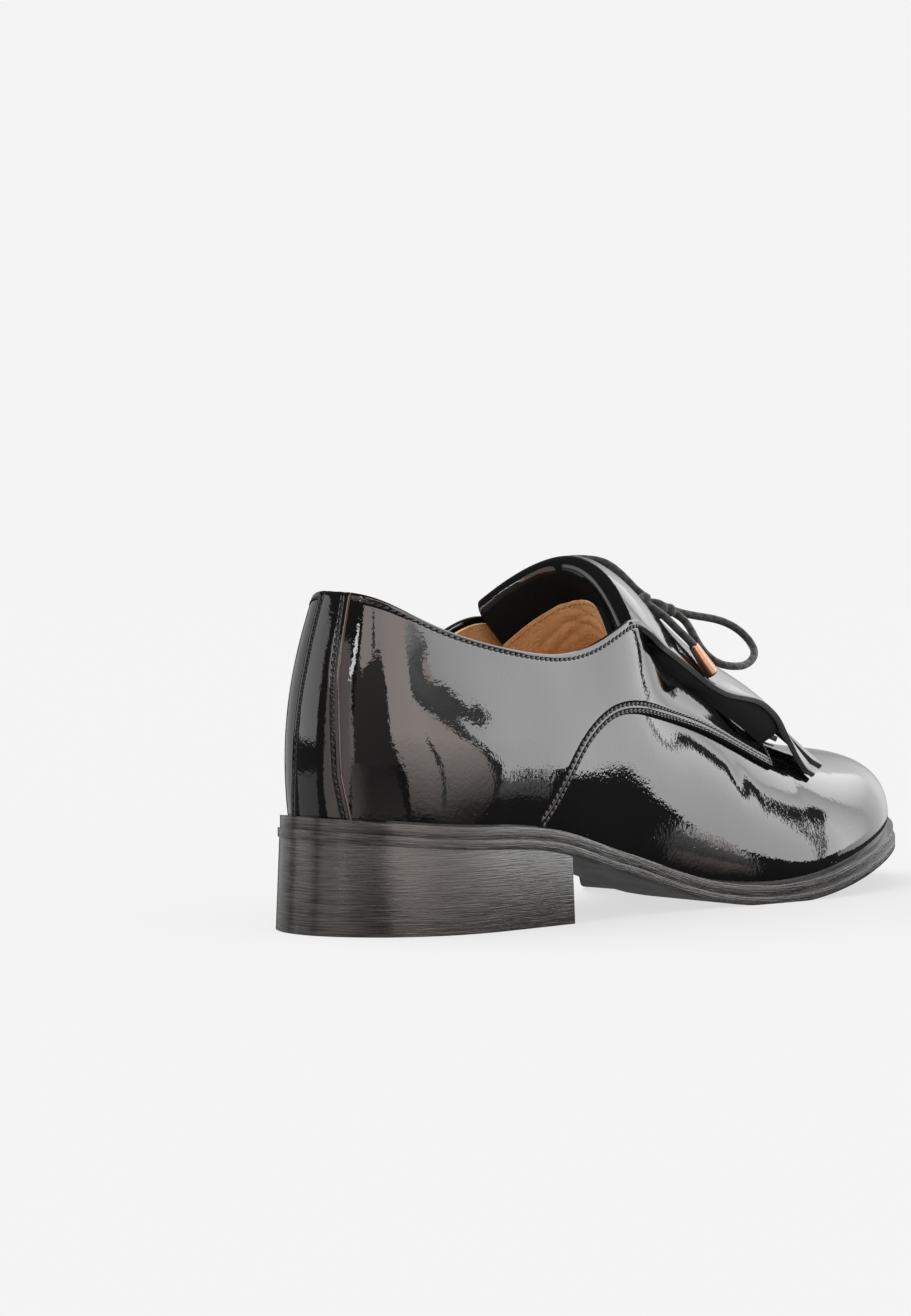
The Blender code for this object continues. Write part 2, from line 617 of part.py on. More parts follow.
def main():
    """Build the whole shoe."""
    clear_scene()
    materials = {
        "patent": make_material("black_patent_leather", (0.012, 0.012, 0.012), 0.08),
        "sole": make_material("stacked_leather_black", (0.03, 0.028, 0.026), 0.45),
        "lining": make_material("tan_lining_leather", (0.43, 0.19, 0.05), 0.6),
        "lace": make_material("black_cotton_lace", (0.03, 0.03, 0.03), 0.8),
        "copper": make_material("rose_copper", (0.5, 0.26, 0.13), 0.3, 1.0),
    }
    root = bpy.data.objects.new("shoe", None)
    bpy.context.scene.collection.objects.link(root)
    root.location = (*(-MM * footprint_middle()), 0.0)
    build_sole(root, materials)
    build_upper(root, materials)
    build_overlays(root, materials)
    build_tongue(root, materials)
    build_lace(root, materials)


main()
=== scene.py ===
# %% [markdown]
# # A black patent derby shoe, dressed around its frame
# The imported model holds the plain solids of the shoe. It is loaded first, so that every leather panel,
# thread and lace that follows can be laid where the solids say. The size of the solids is kept.

# %% Load the frame
import math

import bpy
import numpy as np
from mathutils import Matrix, Vector


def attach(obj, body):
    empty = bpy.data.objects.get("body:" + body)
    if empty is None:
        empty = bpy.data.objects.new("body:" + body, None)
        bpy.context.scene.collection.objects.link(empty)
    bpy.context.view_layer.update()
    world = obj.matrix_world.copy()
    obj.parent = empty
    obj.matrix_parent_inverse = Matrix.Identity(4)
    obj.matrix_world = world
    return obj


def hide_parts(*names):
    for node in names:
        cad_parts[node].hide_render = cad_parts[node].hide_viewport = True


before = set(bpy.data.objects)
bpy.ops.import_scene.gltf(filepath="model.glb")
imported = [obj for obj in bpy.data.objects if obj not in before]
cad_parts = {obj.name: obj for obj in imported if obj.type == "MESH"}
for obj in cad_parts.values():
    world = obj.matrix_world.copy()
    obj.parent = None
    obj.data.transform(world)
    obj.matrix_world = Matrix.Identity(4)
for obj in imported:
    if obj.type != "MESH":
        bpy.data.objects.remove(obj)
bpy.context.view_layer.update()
MM = 0.001
print("frame nodes:", sorted(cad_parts))

# %% [markdown]
# ## Camera
# The shoe is seen from behind its outer side, from almost as low as the heel. A long lens about a metre away
# keeps the heel and the toe in proportion. The camera is aimed at the middle of the picture, so the shoe
# stands low and to the right in it.

# %% Camera
CAMERA_PLACE = Vector((-0.7967, -0.6089, 0.0853))
CAMERA_AIM = Vector((-0.0290, 0.0342, 0.0678))
LENS_MM = 98.2

bpy.ops.object.select_all(action="DESELECT")
camera_turn = (CAMERA_AIM - CAMERA_PLACE).to_track_quat("-Z", "Y").to_euler()
bpy.ops.object.camera_add(location=CAMERA_PLACE, rotation=camera_turn)
camera = bpy.context.object
camera.data.lens = LENS_MM
bpy.context.scene.camera = camera
print("camera", [round(value, 3) for value in CAMERA_PLACE])

# %% [markdown]
# ## The last
# A shoemaker builds on a last, a solid foot shape, so this lesson does the same. Each section of the last is
# a curve from the sole's edge up to the collar or the crest. Reading the sections with smooth splines gives a
# point for any row along the shoe and any rise up its side, without facets that gloss would show. All tables
# are in millimetres from the back of the heel; X runs to the toe and Y to the inner side.

# %% Tables of the last
OUTSOLE_THICK = 2.4
MIDSOLE_THICK = 3.2
FEATHER_GAP = 0.6
TREAD_SKEW = 0.2
TREAD = (  # x, height of the sole's underside
    (-6.0, 24.6), (37.0, 21.2), (72.0, 18.3), (90.0, 13.6), (108.0, 8.9), (122.0, 4.9),
    (136.0, 1.7), (150.0, 0.0), (164.0, -0.5), (178.0, 0.4), (192.0, 2.5), (207.0, 5.4),
    (225.0, 9.0), (245.0, 12.2), (268.0, 15.0),
)
ARCH_LIFT = 8.5
ARCH_X = 114.0
ARCH_SPAN = 26.0
ARCH_REACH = 20.0
ARCH_LIMIT = 1.2
SOLE_OUTLINE = (  # x, y
    (0.0, 1.0), (8.0, -17.5), (28.0, -28.3), (50.0, -30.0), (69.0, -30.2), (90.0, -29.6),
    (110.0, -30.2), (130.0, -32.4), (150.0, -35.4), (170.0, -37.4), (188.0, -37.0),
    (206.0, -33.6), (224.0, -27.0), (241.0, -16.5), (254.5, -4.0), (262.5, 10.0), (260.0, 22.0),
    (248.0, 33.0), (228.0, 41.0), (206.0, 45.0), (186.0, 45.5), (168.0, 42.0), (150.0, 31.5),
    (132.0, 20.5), (112.0, 17.5), (90.0, 20.5), (69.0, 25.0), (48.0, 28.0), (26.0, 27.6), (8.0, 18.8),
)
SECTION_COLUMNS = ("spine_x", "spine_y", "heading", "feather", "top_reach", "top_height",
                   "low_out", "low_up", "high_out", "high_drop")
SECTIONS = (
    (30.0, 0.0, -90.0, 4.0, 19.0, 86.0, 2.6, 24.0, 4.6, 14.0),
    (30.0, 0.0, -52.0, 4.0, 18.6, 83.6, 2.6, 24.0, 4.4, 14.0),
    (36.0, 0.4, -20.0, 4.0, 20.4, 76.4, 2.6, 22.0, 3.4, 13.0),
    (58.0, 1.2, -5.0, 3.8, 24.0, 70.7, 2.4, 20.0, 2.4, 13.0),
    (82.0, 3.0, 0.0, 3.4, 25.6, 71.0, 1.4, 20.0, 4.0, 13.0),
    (104.0, 4.6, 0.0, 3.2, 25.0, 76.5, 1.0, 18.0, 6.0, 13.0),
    (125.0, 5.2, 0.0, 3.0, 15.0, 69.0, 2.0, 18.0, 14.0, 9.0),
    (150.0, 5.4, 0.0, 2.8, 9.5, 57.5, 2.5, 15.0, 18.0, 6.0),
    (175.0, 5.6, 3.0, 2.6, 0.0, 48.5, 2.5, 12.0, 22.0, 0.3),
    (196.0, 5.8, 10.0, 2.5, 0.0, 43.0, 2.5, 11.0, 23.0, 0.3),
    (213.0, 6.2, 27.0, 2.4, 0.0, 40.8, 2.0, 12.0, 23.5, 0.8),
    (224.0, 6.6, 57.0, 2.4, 0.0, 39.8, 1.5, 12.0, 21.0, 1.6),
    (227.0, 7.0, 90.0, 2.4, 0.0, 39.5, 1.0, 12.0, 19.5, 2.0),
)
LAST_ROW = len(SECTIONS) - 1
SLOT_END_ROW = 8.0
HEEL_TURN = 3.0
HEEL_TURN_ROWS = 4.0
MEDIAL_RISE = 3.0
ARCH_BELLY = 0.6
HEEL_FLARE = 0.9
HEEL_INSET = 0.4
OUTLINE_COUNT = 480
OUTER = -1
INNER = 1


def natural_spline(knots, values):
    """Return the natural cubic spline through the values at the knots, as a function."""
    knots = np.asarray(knots, dtype=float)
    values = np.asarray(values, dtype=float)
    steps = np.diff(knots)
    slopes = np.diff(values) / steps
    count = len(knots)
    matrix = np.eye(count)
    bending = np.zeros(count)
    for row in range(1, count - 1):
        matrix[row, row - 1:row + 2] = steps[row - 1], 2.0 * (steps[row - 1] + steps[row]), steps[row]
        bending[row] = 6.0 * (slopes[row] - slopes[row - 1])
    bending = np.linalg.solve(matrix, bending)

    def evaluate(at):
        at = np.asarray(at, dtype=float)
        cell = np.clip(np.searchsorted(knots, at) - 1, 0, count - 2)
        step = steps[cell]
        done = at - knots[cell]
        left = knots[cell + 1] - at
        cubic = (bending[cell] * left ** 3 + bending[cell + 1] * done ** 3) / (6.0 * step)
        start = (values[cell] / step - bending[cell] * step / 6.0) * left
        end = (values[cell + 1] / step - bending[cell + 1] * step / 6.0) * done
        return cubic + start + end

    return evaluate


def lengths_along(points):
    """Return the distance covered at each point of a route."""
    return np.concatenate(([0.0], np.cumsum(np.linalg.norm(np.diff(points, axis=0), axis=1))))


def smooth_route(points, step):
    """Return points about a step apart on a smooth curve through the given points."""
    points = np.asarray(points, dtype=float)
    knots = lengths_along(points)
    at = np.linspace(0.0, knots[-1], int(round(knots[-1] / step)) + 1)
    return np.stack([natural_spline(knots, column)(at) for column in points.T], axis=1)


def closed_outline(points, count):
    """Return evenly spaced points on a smooth closed curve through the given points."""
    points = np.asarray(points, dtype=float)
    wrap = 4
    padded = np.concatenate((points[-wrap:], points, points[:wrap + 1]))
    knots = lengths_along(padded)
    at = np.linspace(knots[wrap], knots[wrap + len(points)], count, endpoint=False)
    return np.stack([natural_spline(knots, column)(at) for column in padded.T], axis=1)


OUTLINE = closed_outline(SOLE_OUTLINE, OUTLINE_COUNT)
low_corner = OUTLINE.min(axis=0) - (HEEL_FLARE - HEEL_INSET, 0.0)
HOME = np.array([*(low_corner + OUTLINE.max(axis=0)) / 2.0, 0.0])
tread_line = natural_spline(*np.array(TREAD).T)
print("the frame's origin lies at", HOME.round(2), "mm from the heel's back")

# %% Reading the last
MIRROR_AT = {"heading": (-90.0, 90.0)}
PAST_END = 0.3  # rows that the reach is read past heel and toe
REACH_COUNT = 379
NUDGE = 0.01


def column_spline(name):
    """Return one column of the sections as a spline, carried smoothly round heel and toe."""
    values = np.array(SECTIONS)[:, SECTION_COLUMNS.index(name)]
    before = values[2:0:-1]
    after = values[-2:-4:-1]
    if name in MIRROR_AT:
        before = 2.0 * MIRROR_AT[name][0] - before
        after = 2.0 * MIRROR_AT[name][1] - after
    return natural_spline(np.arange(-2, len(values) + 2), np.concatenate((before, values, after)))


column = {name: column_spline(name) for name in SECTION_COLUMNS}


def spine_and_aim(side, rows):
    """Spine points and outward directions of the sections."""
    spine = np.stack((column["spine_x"](rows), column["spine_y"](rows)), axis=-1)
    fade = np.clip(1.0 - rows / HEEL_TURN_ROWS, 0.0, 1.0) ** 2
    heading = np.radians(column["heading"](rows) + side * HEEL_TURN * fade)
    return spine, np.stack((np.sin(heading), side * np.cos(heading)), axis=-1)


def edge_reach(side, rows):
    """Distance from each spine point out to the sole's edge."""
    run = np.roll(OUTLINE, -1, axis=0) - OUTLINE
    reach = []
    for point, aim in zip(*spine_and_aim(side, rows)):
        across = run[:, 0] * aim[1] - run[:, 1] * aim[0]
        offset = point - OUTLINE
        share = (offset[:, 0] * aim[1] - offset[:, 1] * aim[0]) / across
        distance = (offset[:, 0] * run[:, 1] - offset[:, 1] * run[:, 0]) / across
        reach.append(distance[(share >= 0.0) & (share <= 1.0) & (distance > 0.0)].min())
    return np.array(reach)


reach_rows = np.linspace(-PAST_END, LAST_ROW + PAST_END, REACH_COUNT)
sole_reach = {side: natural_spline(reach_rows, edge_reach(side, reach_rows)) for side in (OUTER, INNER)}


def tread_height(x, y):
    """Height of the line that the sole's underside follows, before it is ground flat."""
    arch = ARCH_LIFT * np.exp(-((x - ARCH_X) / ARCH_SPAN) ** 2)
    return tread_line(x - TREAD_SKEW * y) + arch * np.clip(y / ARCH_REACH, 0.0, ARCH_LIMIT) ** 2


def bezier(share, points):
    """Read a cubic curve between four points at a share of its way."""
    rest = 1.0 - share
    weights = (rest ** 3, 3.0 * share * rest ** 2, 3.0 * share ** 2 * rest, share ** 3)
    return sum(weight * point for weight, point in zip(weights, points))


def last_point(side, rows, rises):
    """Points of the last's surface at matching rows along it and rises up its side."""
    rows, rises = np.broadcast_arrays(np.asarray(rows, dtype=float), np.asarray(rises, dtype=float))
    spine, aim = spine_and_aim(side, rows)
    foot_reach = sole_reach[side](rows) - column["feather"](rows)
    foot = spine + aim * foot_reach[..., None]
    foot_height = tread_height(foot[..., 0], foot[..., 1]) + OUTSOLE_THICK + MIDSOLE_THICK + FEATHER_GAP
    top_reach = np.where(rows >= SLOT_END_ROW, 0.0, np.maximum(column["top_reach"](rows), 0.0))
    top_height = column["top_height"](rows)
    low_out = column["low_out"](rows)
    if side == INNER:
        top_height = top_height + MEDIAL_RISE * np.sin(np.pi * np.clip(rows / SLOT_END_ROW, 0.0, 1.0))
        tuck = sole_reach[OUTER](rows) - sole_reach[INNER](rows)
        low_out = low_out + ARCH_BELLY * np.maximum(tuck, 0.0)
    reach = (foot_reach, foot_reach + low_out, top_reach + column["high_out"](rows), top_reach)
    height = (foot_height, foot_height + column["low_up"](rows), top_height - column["high_drop"](rows), top_height)
    flat = spine + aim * bezier(rises, reach)[..., None]
    return np.concatenate((flat, bezier(rises, height)[..., None]), axis=-1)


def unit(vectors):
    """Scale vectors to length one."""
    return vectors / np.linalg.norm(vectors, axis=-1, keepdims=True)


def last_normal(side, rows, rises):
    """Directions straight out of the last's surface."""
    rows, rises = np.broadcast_arrays(np.asarray(rows, dtype=float), np.asarray(rises, dtype=float))
    safe = np.clip(rises, NUDGE, 1.0 - 2.0 * NUDGE)
    along = last_point(side, rows + NUDGE, safe) - last_point(side, rows - NUDGE, safe)
    upward = last_point(side, rows, safe + NUDGE) - last_point(side, rows, safe - NUDGE)
    return unit(np.cross(along, upward) * -side)


def above_last(side, rows, rises, lift):
    """Points a lift outside the last's surface."""
    lift = np.asarray(lift, dtype=float)
    return last_point(side, rows, rises) + last_normal(side, rows, rises) * lift[..., None]


print("heel collar at", last_point(OUTER, 0.0, 1.0).round(1), "toe tip at", last_point(OUTER, LAST_ROW, 0.3).round(1))

# %% [markdown]
# ## Tools for the pieces
# A leather panel could be pulled from a cube by hand, but gloss shows every uneven move. So a panel starts as
# Blender's grid primitive, and each of its corners is moved to a computed place. A modifier then gives it its
# thickness and is applied. Every piece ends up at the origin, with its place in its mesh.

# %% Tools for the pieces
WELD_GAP = 0.02  # millimetres within which corners of a grid are joined


def to_frame(points):
    """Turn millimetres from the heel's back into metres in the shoe's frame."""
    return (np.asarray(points, dtype=float) - HOME) * MM


def ruled(first, second, count):
    """Points on straight lines from one edge to another."""
    share = np.linspace(0.0, 1.0, count)[None, :, None]
    return first[:, None] * (1.0 - share) + second[:, None] * share


def choose(piece):
    """Make one piece the only one selected, and the active one."""
    bpy.ops.object.select_all(action="DESELECT")
    piece.select_set(True)
    bpy.context.view_layer.objects.active = piece


def edit(piece):
    """Open one piece in edit mode, with nothing else selected."""
    choose(piece)
    bpy.ops.object.mode_set(mode="EDIT")


def leave(piece):
    """Go back to object mode and bring the mesh up to date."""
    bpy.ops.object.mode_set(mode="OBJECT")
    piece.data.update()


def add_grid(name, points, facing):
    """Add a grid, move its corners to places in millimetres, and turn it to face the given way."""
    rows, columns = points.shape[:2]
    bpy.ops.object.select_all(action="DESELECT")
    bpy.ops.mesh.primitive_grid_add(x_subdivisions=columns - 1, y_subdivisions=rows - 1, size=1.0)
    piece = bpy.context.object
    piece.name = name
    piece.data.name = name
    places = to_frame(points.reshape(-1, 3))
    piece.data.vertices.foreach_set("co", places.astype(np.float32).ravel())
    across = points[1:, :-1] - points[:-1, 1:]
    along = points[1:, 1:] - points[:-1, :-1]
    wanted = np.broadcast_to(facing, points.shape)[:-1, :-1]
    turned = np.cross(along, across) * wanted
    edit(piece)
    bpy.ops.mesh.select_all(action="SELECT")
    if turned.sum() < 0.0:
        bpy.ops.mesh.flip_normals()
    bpy.ops.mesh.remove_doubles(threshold=WELD_GAP * MM)
    leave(piece)
    return piece


def use_modifier(piece, kind, **settings):
    """Add a modifier with its settings and apply it."""
    choose(piece)
    modifier = piece.modifiers.new(kind.lower(), kind)
    for name, value in settings.items():
        setattr(modifier, name, value)
    bpy.ops.object.modifier_apply(modifier=modifier.name)


def corner_places(piece):
    """Return the corners of a piece in metres, one row each."""
    places = np.empty(3 * len(piece.data.vertices))
    piece.data.vertices.foreach_get("co", places)
    return places.reshape(-1, 3)


def finish_piece(piece, slot, *nodes, smooth_angle=50.0):
    """Shade a piece, let it ride with the shoe, and hide the solids that it stands for; the slot is not used."""
    choose(piece)
    bpy.ops.object.shade_smooth_by_angle(angle=math.radians(smooth_angle))
    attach(piece, "root")
    if nodes:
        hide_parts(*nodes)
    print(piece.name, len(piece.data.polygons), "faces")


def add_panel(name, points, facing, thickness, material, slot, *nodes):
    """Add a grid of one material, with its thickness in millimetres laid inside it, and finish it."""
    piece = add_grid(name, points, facing)
    use_modifier(piece, "SOLIDIFY", thickness=thickness * MM, offset=-1.0)
    piece.data.materials.append(material)
    finish_piece(piece, slot, *nodes)


# %% [markdown]
# ## Materials
# Each material starts from the real one: patent leather under its lacquer film, calf lining, stained sole
# leather, waxed cotton, copper. One function turns the colours of a screen into Blender's linear values, and
# one adds a node with its values and links. Noise, bumps and tones come up in every material, so each has a
# function too.

# %% Colours and nodes


def linear(code):
    """Turn an sRGB hex colour into linear values with full alpha."""
    channels = [int(code[start:start + 2], 16) / 255.0 for start in (1, 3, 5)]
    return (*(c / 12.92 if c <= 0.04045 else ((c + 0.055) / 1.055) ** 2.4 for c in channels), 1.0)


def add_node(tree, kind, values=(), links=(), **settings):
    """Add a node, and set its settings, input values and links, given as pairs of socket and value."""
    made = tree.nodes.new(kind)
    for name, value in settings.items():
        setattr(made, name, value)
    for socket, value in values:
        made.inputs[socket].default_value = value
    for socket, source in links:
        tree.links.new(source, made.inputs[socket])
    return made


def new_material(name, colour, **sockets):
    """Add a Principled material with a base colour; a socket's name is written with underscores."""
    material = bpy.data.materials.new(name)
    material.use_nodes = True
    shader = material.node_tree.nodes["Principled BSDF"]
    shader.inputs["Base Color"].default_value = linear(colour)
    for socket, value in sockets.items():
        shader.inputs[socket.replace("_", " ")].default_value = value
    return material, material.node_tree, shader


def per_metre(millimetres):
    """Scale of a pattern whose features are so many millimetres wide."""
    return 1.0 / MM / millimetres


def object_place(tree):
    """Coordinates that stay with the piece."""
    return add_node(tree, "ShaderNodeTexCoord").outputs["Object"]


def add_noise(tree, place, millimetres, detail, **more):
    """Noise with features so many millimetres wide."""
    values = (("Scale", per_metre(millimetres)), ("Detail", detail), *more.items())
    return add_node(tree, "ShaderNodeTexNoise", values, (("Vector", place),)).outputs["Fac"]


def add_bump(tree, height, strength, millimetres, under=()):
    """The normal of a bump so many millimetres high; under may hold the normal of a bump below it."""
    links = (("Height", height), *(("Normal", normal) for normal in under))
    settings = (("Strength", strength), ("Distance", millimetres * MM))
    return add_node(tree, "ShaderNodeBump", settings, links).outputs["Normal"]


def mix_tones(tree, share, low, high):
    """Mix two hex colours."""
    colours = ((6, linear(low)), (7, linear(high)))
    return add_node(tree, "ShaderNodeMix", colours, ((0, share),), data_type="RGBA").outputs[2]


def ramp_tones(tree, share, *tones):
    """Go from one hex colour to another between two places on a ramp."""
    ramp = add_node(tree, "ShaderNodeValToRGB", (), (("Fac", share),))
    for element, (position, colour) in zip(ramp.color_ramp.elements, tones):
        element.position = position
        element.color = linear(colour)
    return ramp.outputs["Color"]


# %% [markdown]
# ### Patent leather
# Patent leather is leather under a thick clear lacquer, so the eye sees a black mirror. The hide's grain
# under the film makes the edges of reflections ragged, at about a millimetre, and the panel itself swells a
# little over some 14 mm. A few specks of dust lie on it, more of them near the sole.

# %% Patent leather
PATENT_BLACK = "#0A0A0B"
DUST_GREY = "#8C8C8C"
DUST_SPACING_MM = 2.6
patent, tree, shader = new_material("black_patent_leather", PATENT_BLACK, Roughness=0.3, Coat_Weight=1.0,
                                    Coat_Roughness=0.015, Coat_IOR=1.55, Specular_IOR_Level=0.0)
place = object_place(tree)
grain = add_noise(tree, place, millimetres=1.1, detail=2.0)
grain_bump = add_bump(tree, grain, strength=0.24, millimetres=0.1)
waves = add_noise(tree, place, millimetres=14.0, detail=1.0)
swell = add_bump(tree, waves, strength=0.14, millimetres=1.0, under=(grain_bump,))
tree.links.new(swell, shader.inputs["Normal"])
tree.links.new(swell, shader.inputs["Coat Normal"])
specks = add_node(tree, "ShaderNodeTexVoronoi", (("Scale", per_metre(DUST_SPACING_MM)),), (("Vector", place),))
speck_size = add_node(tree, "ShaderNodeSeparateColor", (), (("Color", specks.outputs["Color"]),))
height = add_node(tree, "ShaderNodeSeparateXYZ", (), (("Vector", place),))
near_sole = add_node(tree, "ShaderNodeMapRange", (("From Min", 0.010), ("From Max", 0.045), ("To Min", 0.09),
                                                  ("To Max", 0.02)), (("Value", height.outputs["Z"]),))
speck_reach = add_node(tree, "ShaderNodeMath", (), ((0, speck_size.outputs["Red"]), (1, near_sole.outputs[0])),
                       operation="MULTIPLY")
speck = add_node(tree, "ShaderNodeMath", (), ((0, specks.outputs["Distance"]), (1, speck_reach.outputs[0])),
                 operation="LESS_THAN")
tree.links.new(mix_tones(tree, speck.outputs[0], PATENT_BLACK, DUST_GREY), shader.inputs["Base Color"])
print("made", patent.name)

# %% [markdown]
# ### Flesh side, painted shade and thread
# The back of the kiltie is the flesh side of the hide: black, fuzzy and dull. Inside its fold and in the gap
# under its edges, shade is painted with a blacker, dull material. The thread is a twisted polyester with a
# slight shine; the tongue's is tan.

# %% Flesh side, painted shade and thread
flesh, tree, shader = new_material("black_leather_flesh_side", "#141414", Roughness=0.9, Sheen_Weight=0.25,
                                   Sheen_Roughness=0.6, Specular_IOR_Level=0.3)
fuzz = add_noise(tree, object_place(tree), millimetres=0.7, detail=4.0)
tree.links.new(mix_tones(tree, fuzz, "#0C0C0C", "#232222"), shader.inputs["Base Color"])
tree.links.new(add_bump(tree, fuzz, strength=0.6, millimetres=0.3), shader.inputs["Normal"])

# Painted shade: a near-black dull material for the inside of the kiltie's fold and the gap under its edges.
dark_shade, tree, shader = new_material("painted_shade_black", "#070707", Roughness=0.95, Specular_IOR_Level=0.1)
shade_speckle = add_noise(tree, object_place(tree), millimetres=0.5, detail=4.0)
tree.links.new(mix_tones(tree, shade_speckle, "#030303", "#121212"), shader.inputs["Base Color"])

thread, tree, shader = new_material("black_polyester_thread", "#0F0F10", Roughness=0.5)
strand = add_noise(tree, object_place(tree), millimetres=0.5, detail=2.0)
tree.links.new(add_bump(tree, strand, strength=0.5, millimetres=0.2), shader.inputs["Normal"])

tan_thread = new_material("tan_thread", "#B4855A", Roughness=0.6)[0]
print("made", flesh.name, dark_shade.name, thread.name, tan_thread.name)

# %% [markdown]
# ### Calf lining
# The lining is soft tan calf with a dull, slightly mottled face. Its pores are about a millimetre apart, and its
# colour drifts over a centimetre or so.

# %% Calf lining
lining_leather, tree, shader = new_material("tan_calf_lining", "#B4793F", Roughness=0.62, Sheen_Weight=0.1,
                                            Specular_IOR_Level=0.35)
place = object_place(tree)
mottle = add_noise(tree, place, millimetres=9.0, detail=6.0, Roughness=0.65)
tree.links.new(ramp_tones(tree, mottle, (0.3, "#BF9160"), (0.72, "#DDB484")), shader.inputs["Base Color"])
pores = add_noise(tree, place, millimetres=1.1, detail=3.0)
pore_bump = add_bump(tree, pores, strength=0.75, millimetres=0.6)
crinkle = add_noise(tree, place, millimetres=5.0, detail=2.0, Distortion=0.6)
crinkle_bump = add_bump(tree, crinkle, strength=0.35, millimetres=0.8, under=(pore_bump,))
tree.links.new(crinkle_bump, shader.inputs["Normal"])

raw_edge = new_material("raw_leather_edge", "#8F5E3C", Roughness=0.8)[0]
print("made", lining_leather.name, raw_edge.name)

# %% [markdown]
# ### Stained sole leather
# The edges of the sole and the heel are layers of leather, sanded, stained black and waxed. Sanding leaves
# fine streaks that run round the shoe, a third of a millimetre apart. They smear reflections upright. Each
# piece carries an attribute with the height in its layer, so the streaks follow the sole's curve.

# %% Stained sole leather
STREAK_LENGTH_MM = 9.0
STREAK_PITCH_MM = 0.32
sole_leather, tree, shader = new_material("stained_sole_leather", "#1A1918", Roughness=0.17,
                                          Specular_IOR_Level=0.5)
place = object_place(tree)
flat_place = add_node(tree, "ShaderNodeSeparateXYZ", (), (("Vector", place),))
layer = add_node(tree, "ShaderNodeAttribute", attribute_name="layer_height")
streak_parts = []
for source, span in ((flat_place.outputs["X"], STREAK_LENGTH_MM), (flat_place.outputs["Y"], STREAK_LENGTH_MM),
                     (layer.outputs["Fac"], STREAK_PITCH_MM)):
    part = add_node(tree, "ShaderNodeMath", ((1, per_metre(span)),), ((0, source),), operation="MULTIPLY")
    streak_parts.append(part.outputs[0])
streak_place = add_node(tree, "ShaderNodeCombineXYZ", (), tuple(enumerate(streak_parts))).outputs[0]
streaks = add_noise(tree, streak_place, millimetres=1.0 / MM, detail=4.0, Roughness=0.6)  # already scaled
tree.links.new(ramp_tones(tree, streaks, (0.34, "#161515"), (0.68, "#464341")), shader.inputs["Base Color"])
grit = add_noise(tree, place, millimetres=0.5, detail=2.0)
grit_bump = add_bump(tree, grit, strength=0.14, millimetres=0.2)
streak_bump = add_bump(tree, streaks, strength=0.4, millimetres=0.3, under=(grit_bump,))
tree.links.new(streak_bump, shader.inputs["Normal"])
print("made", sole_leather.name)

# %% [markdown]
# ### Waxed cotton and copper
# The lace is a round braid of waxed cotton, charcoal black and dull. Its plaits show as fine slanted ribs, so
# the lace's UV map runs round it and along it in millimetres. The lace tips are pressed copper.

# %% Waxed cotton and copper
PLAIT_MM = 1.5
PLAITS_ROUND = 4.0
WAVE_SCALE = 0.3142
cotton, tree, shader = new_material("waxed_cotton_braid", "#262626", Roughness=0.82, Sheen_Weight=0.3,
                                    Sheen_Roughness=0.5, Specular_IOR_Level=0.3)
along_lace = add_node(tree, "ShaderNodeUVMap", uv_map="UVMap").outputs["UV"]
plaits = []
for turn in (PLAITS_ROUND, -PLAITS_ROUND):
    lean = add_node(tree, "ShaderNodeMapping", (("Scale", (turn, 1.0 / PLAIT_MM, 1.0)),), (("Vector", along_lace),))
    wave = add_node(tree, "ShaderNodeTexWave", (("Scale", WAVE_SCALE), ("Distortion", 0.0)),
                    (("Vector", lean.outputs[0]),), bands_direction="DIAGONAL")
    plaits.append(wave.outputs["Fac"])
plait = add_node(tree, "ShaderNodeMath", (), tuple(enumerate(plaits)), operation="MAXIMUM").outputs[0]
tree.links.new(mix_tones(tree, plait, "#101010", "#262626"), shader.inputs["Base Color"])
tree.links.new(add_bump(tree, plait, strength=0.6, millimetres=0.3), shader.inputs["Normal"])

copper, tree, shader = new_material("pressed_copper", "#8A6C5A", Metallic=1.0, Roughness=0.3)
scuffs = add_noise(tree, object_place(tree), millimetres=0.9, detail=3.0)
scuff_range = add_node(tree, "ShaderNodeMapRange", (("To Min", 0.22), ("To Max", 0.42)), (("Value", scuffs),))
tree.links.new(scuff_range.outputs[0], shader.inputs["Roughness"])
tree.links.new(add_bump(tree, scuffs, strength=0.25, millimetres=0.2), shader.inputs["Normal"])
print("made", cotton.name, copper.name)

# %% [markdown]
# ## The lace
# The lace is tied in a bow over the kiltie: a knot, a near and a far loop, and two ends in copper tips. A
# curve with a bevel would do for a plain cord. Here a grid is rolled into a tube along each route, because its
# UV map then runs round and along the braid.

# %% A tube along a route
LACE_DIAMETER = 2.2
TUBE_SIDES = 14
TUBE_GUIDE = (0.3, 0.2, 1.0)  # way that the first ring is turned
END_ROUND = 1.0  # millimetres over which a tube's end rounds off
END_SHARES = (0.03, 0.12, 0.3, 0.6, 1.0)  # places of the extra rings in that length


def tube_points(route, radius, profile=None, slim_start=1.0):
    """Rings of points round a route, closed at both ends; profile scales the radius by angle."""
    tangent = unit(np.gradient(route, axis=0))
    across = np.empty_like(route)
    guide = np.array(TUBE_GUIDE)
    for index, along in enumerate(tangent):
        guide = guide - along * (guide @ along)
        guide /= np.linalg.norm(guide)
        across[index] = guide
    beside = np.cross(tangent, across)
    travelled = lengths_along(route)
    from_end = np.minimum(travelled, travelled[-1] - travelled) / END_ROUND
    swell = np.sqrt(np.clip(1.0 - (1.0 - np.clip(from_end, 0.0, 1.0)) ** 2, 0.0, 1.0))
    swell = swell * (slim_start + (1.0 - slim_start) * travelled / travelled[-1])
    angle = np.linspace(0.0, 2.0 * np.pi, TUBE_SIDES + 1)
    girth = radius * (np.ones_like(angle) if profile is None else profile(angle))
    ring = np.cos(angle)[None, :, None] * across[:, None] + np.sin(angle)[None, :, None] * beside[:, None]
    return route[:, None] + ring * girth[None, :, None] * swell[:, None, None], ring


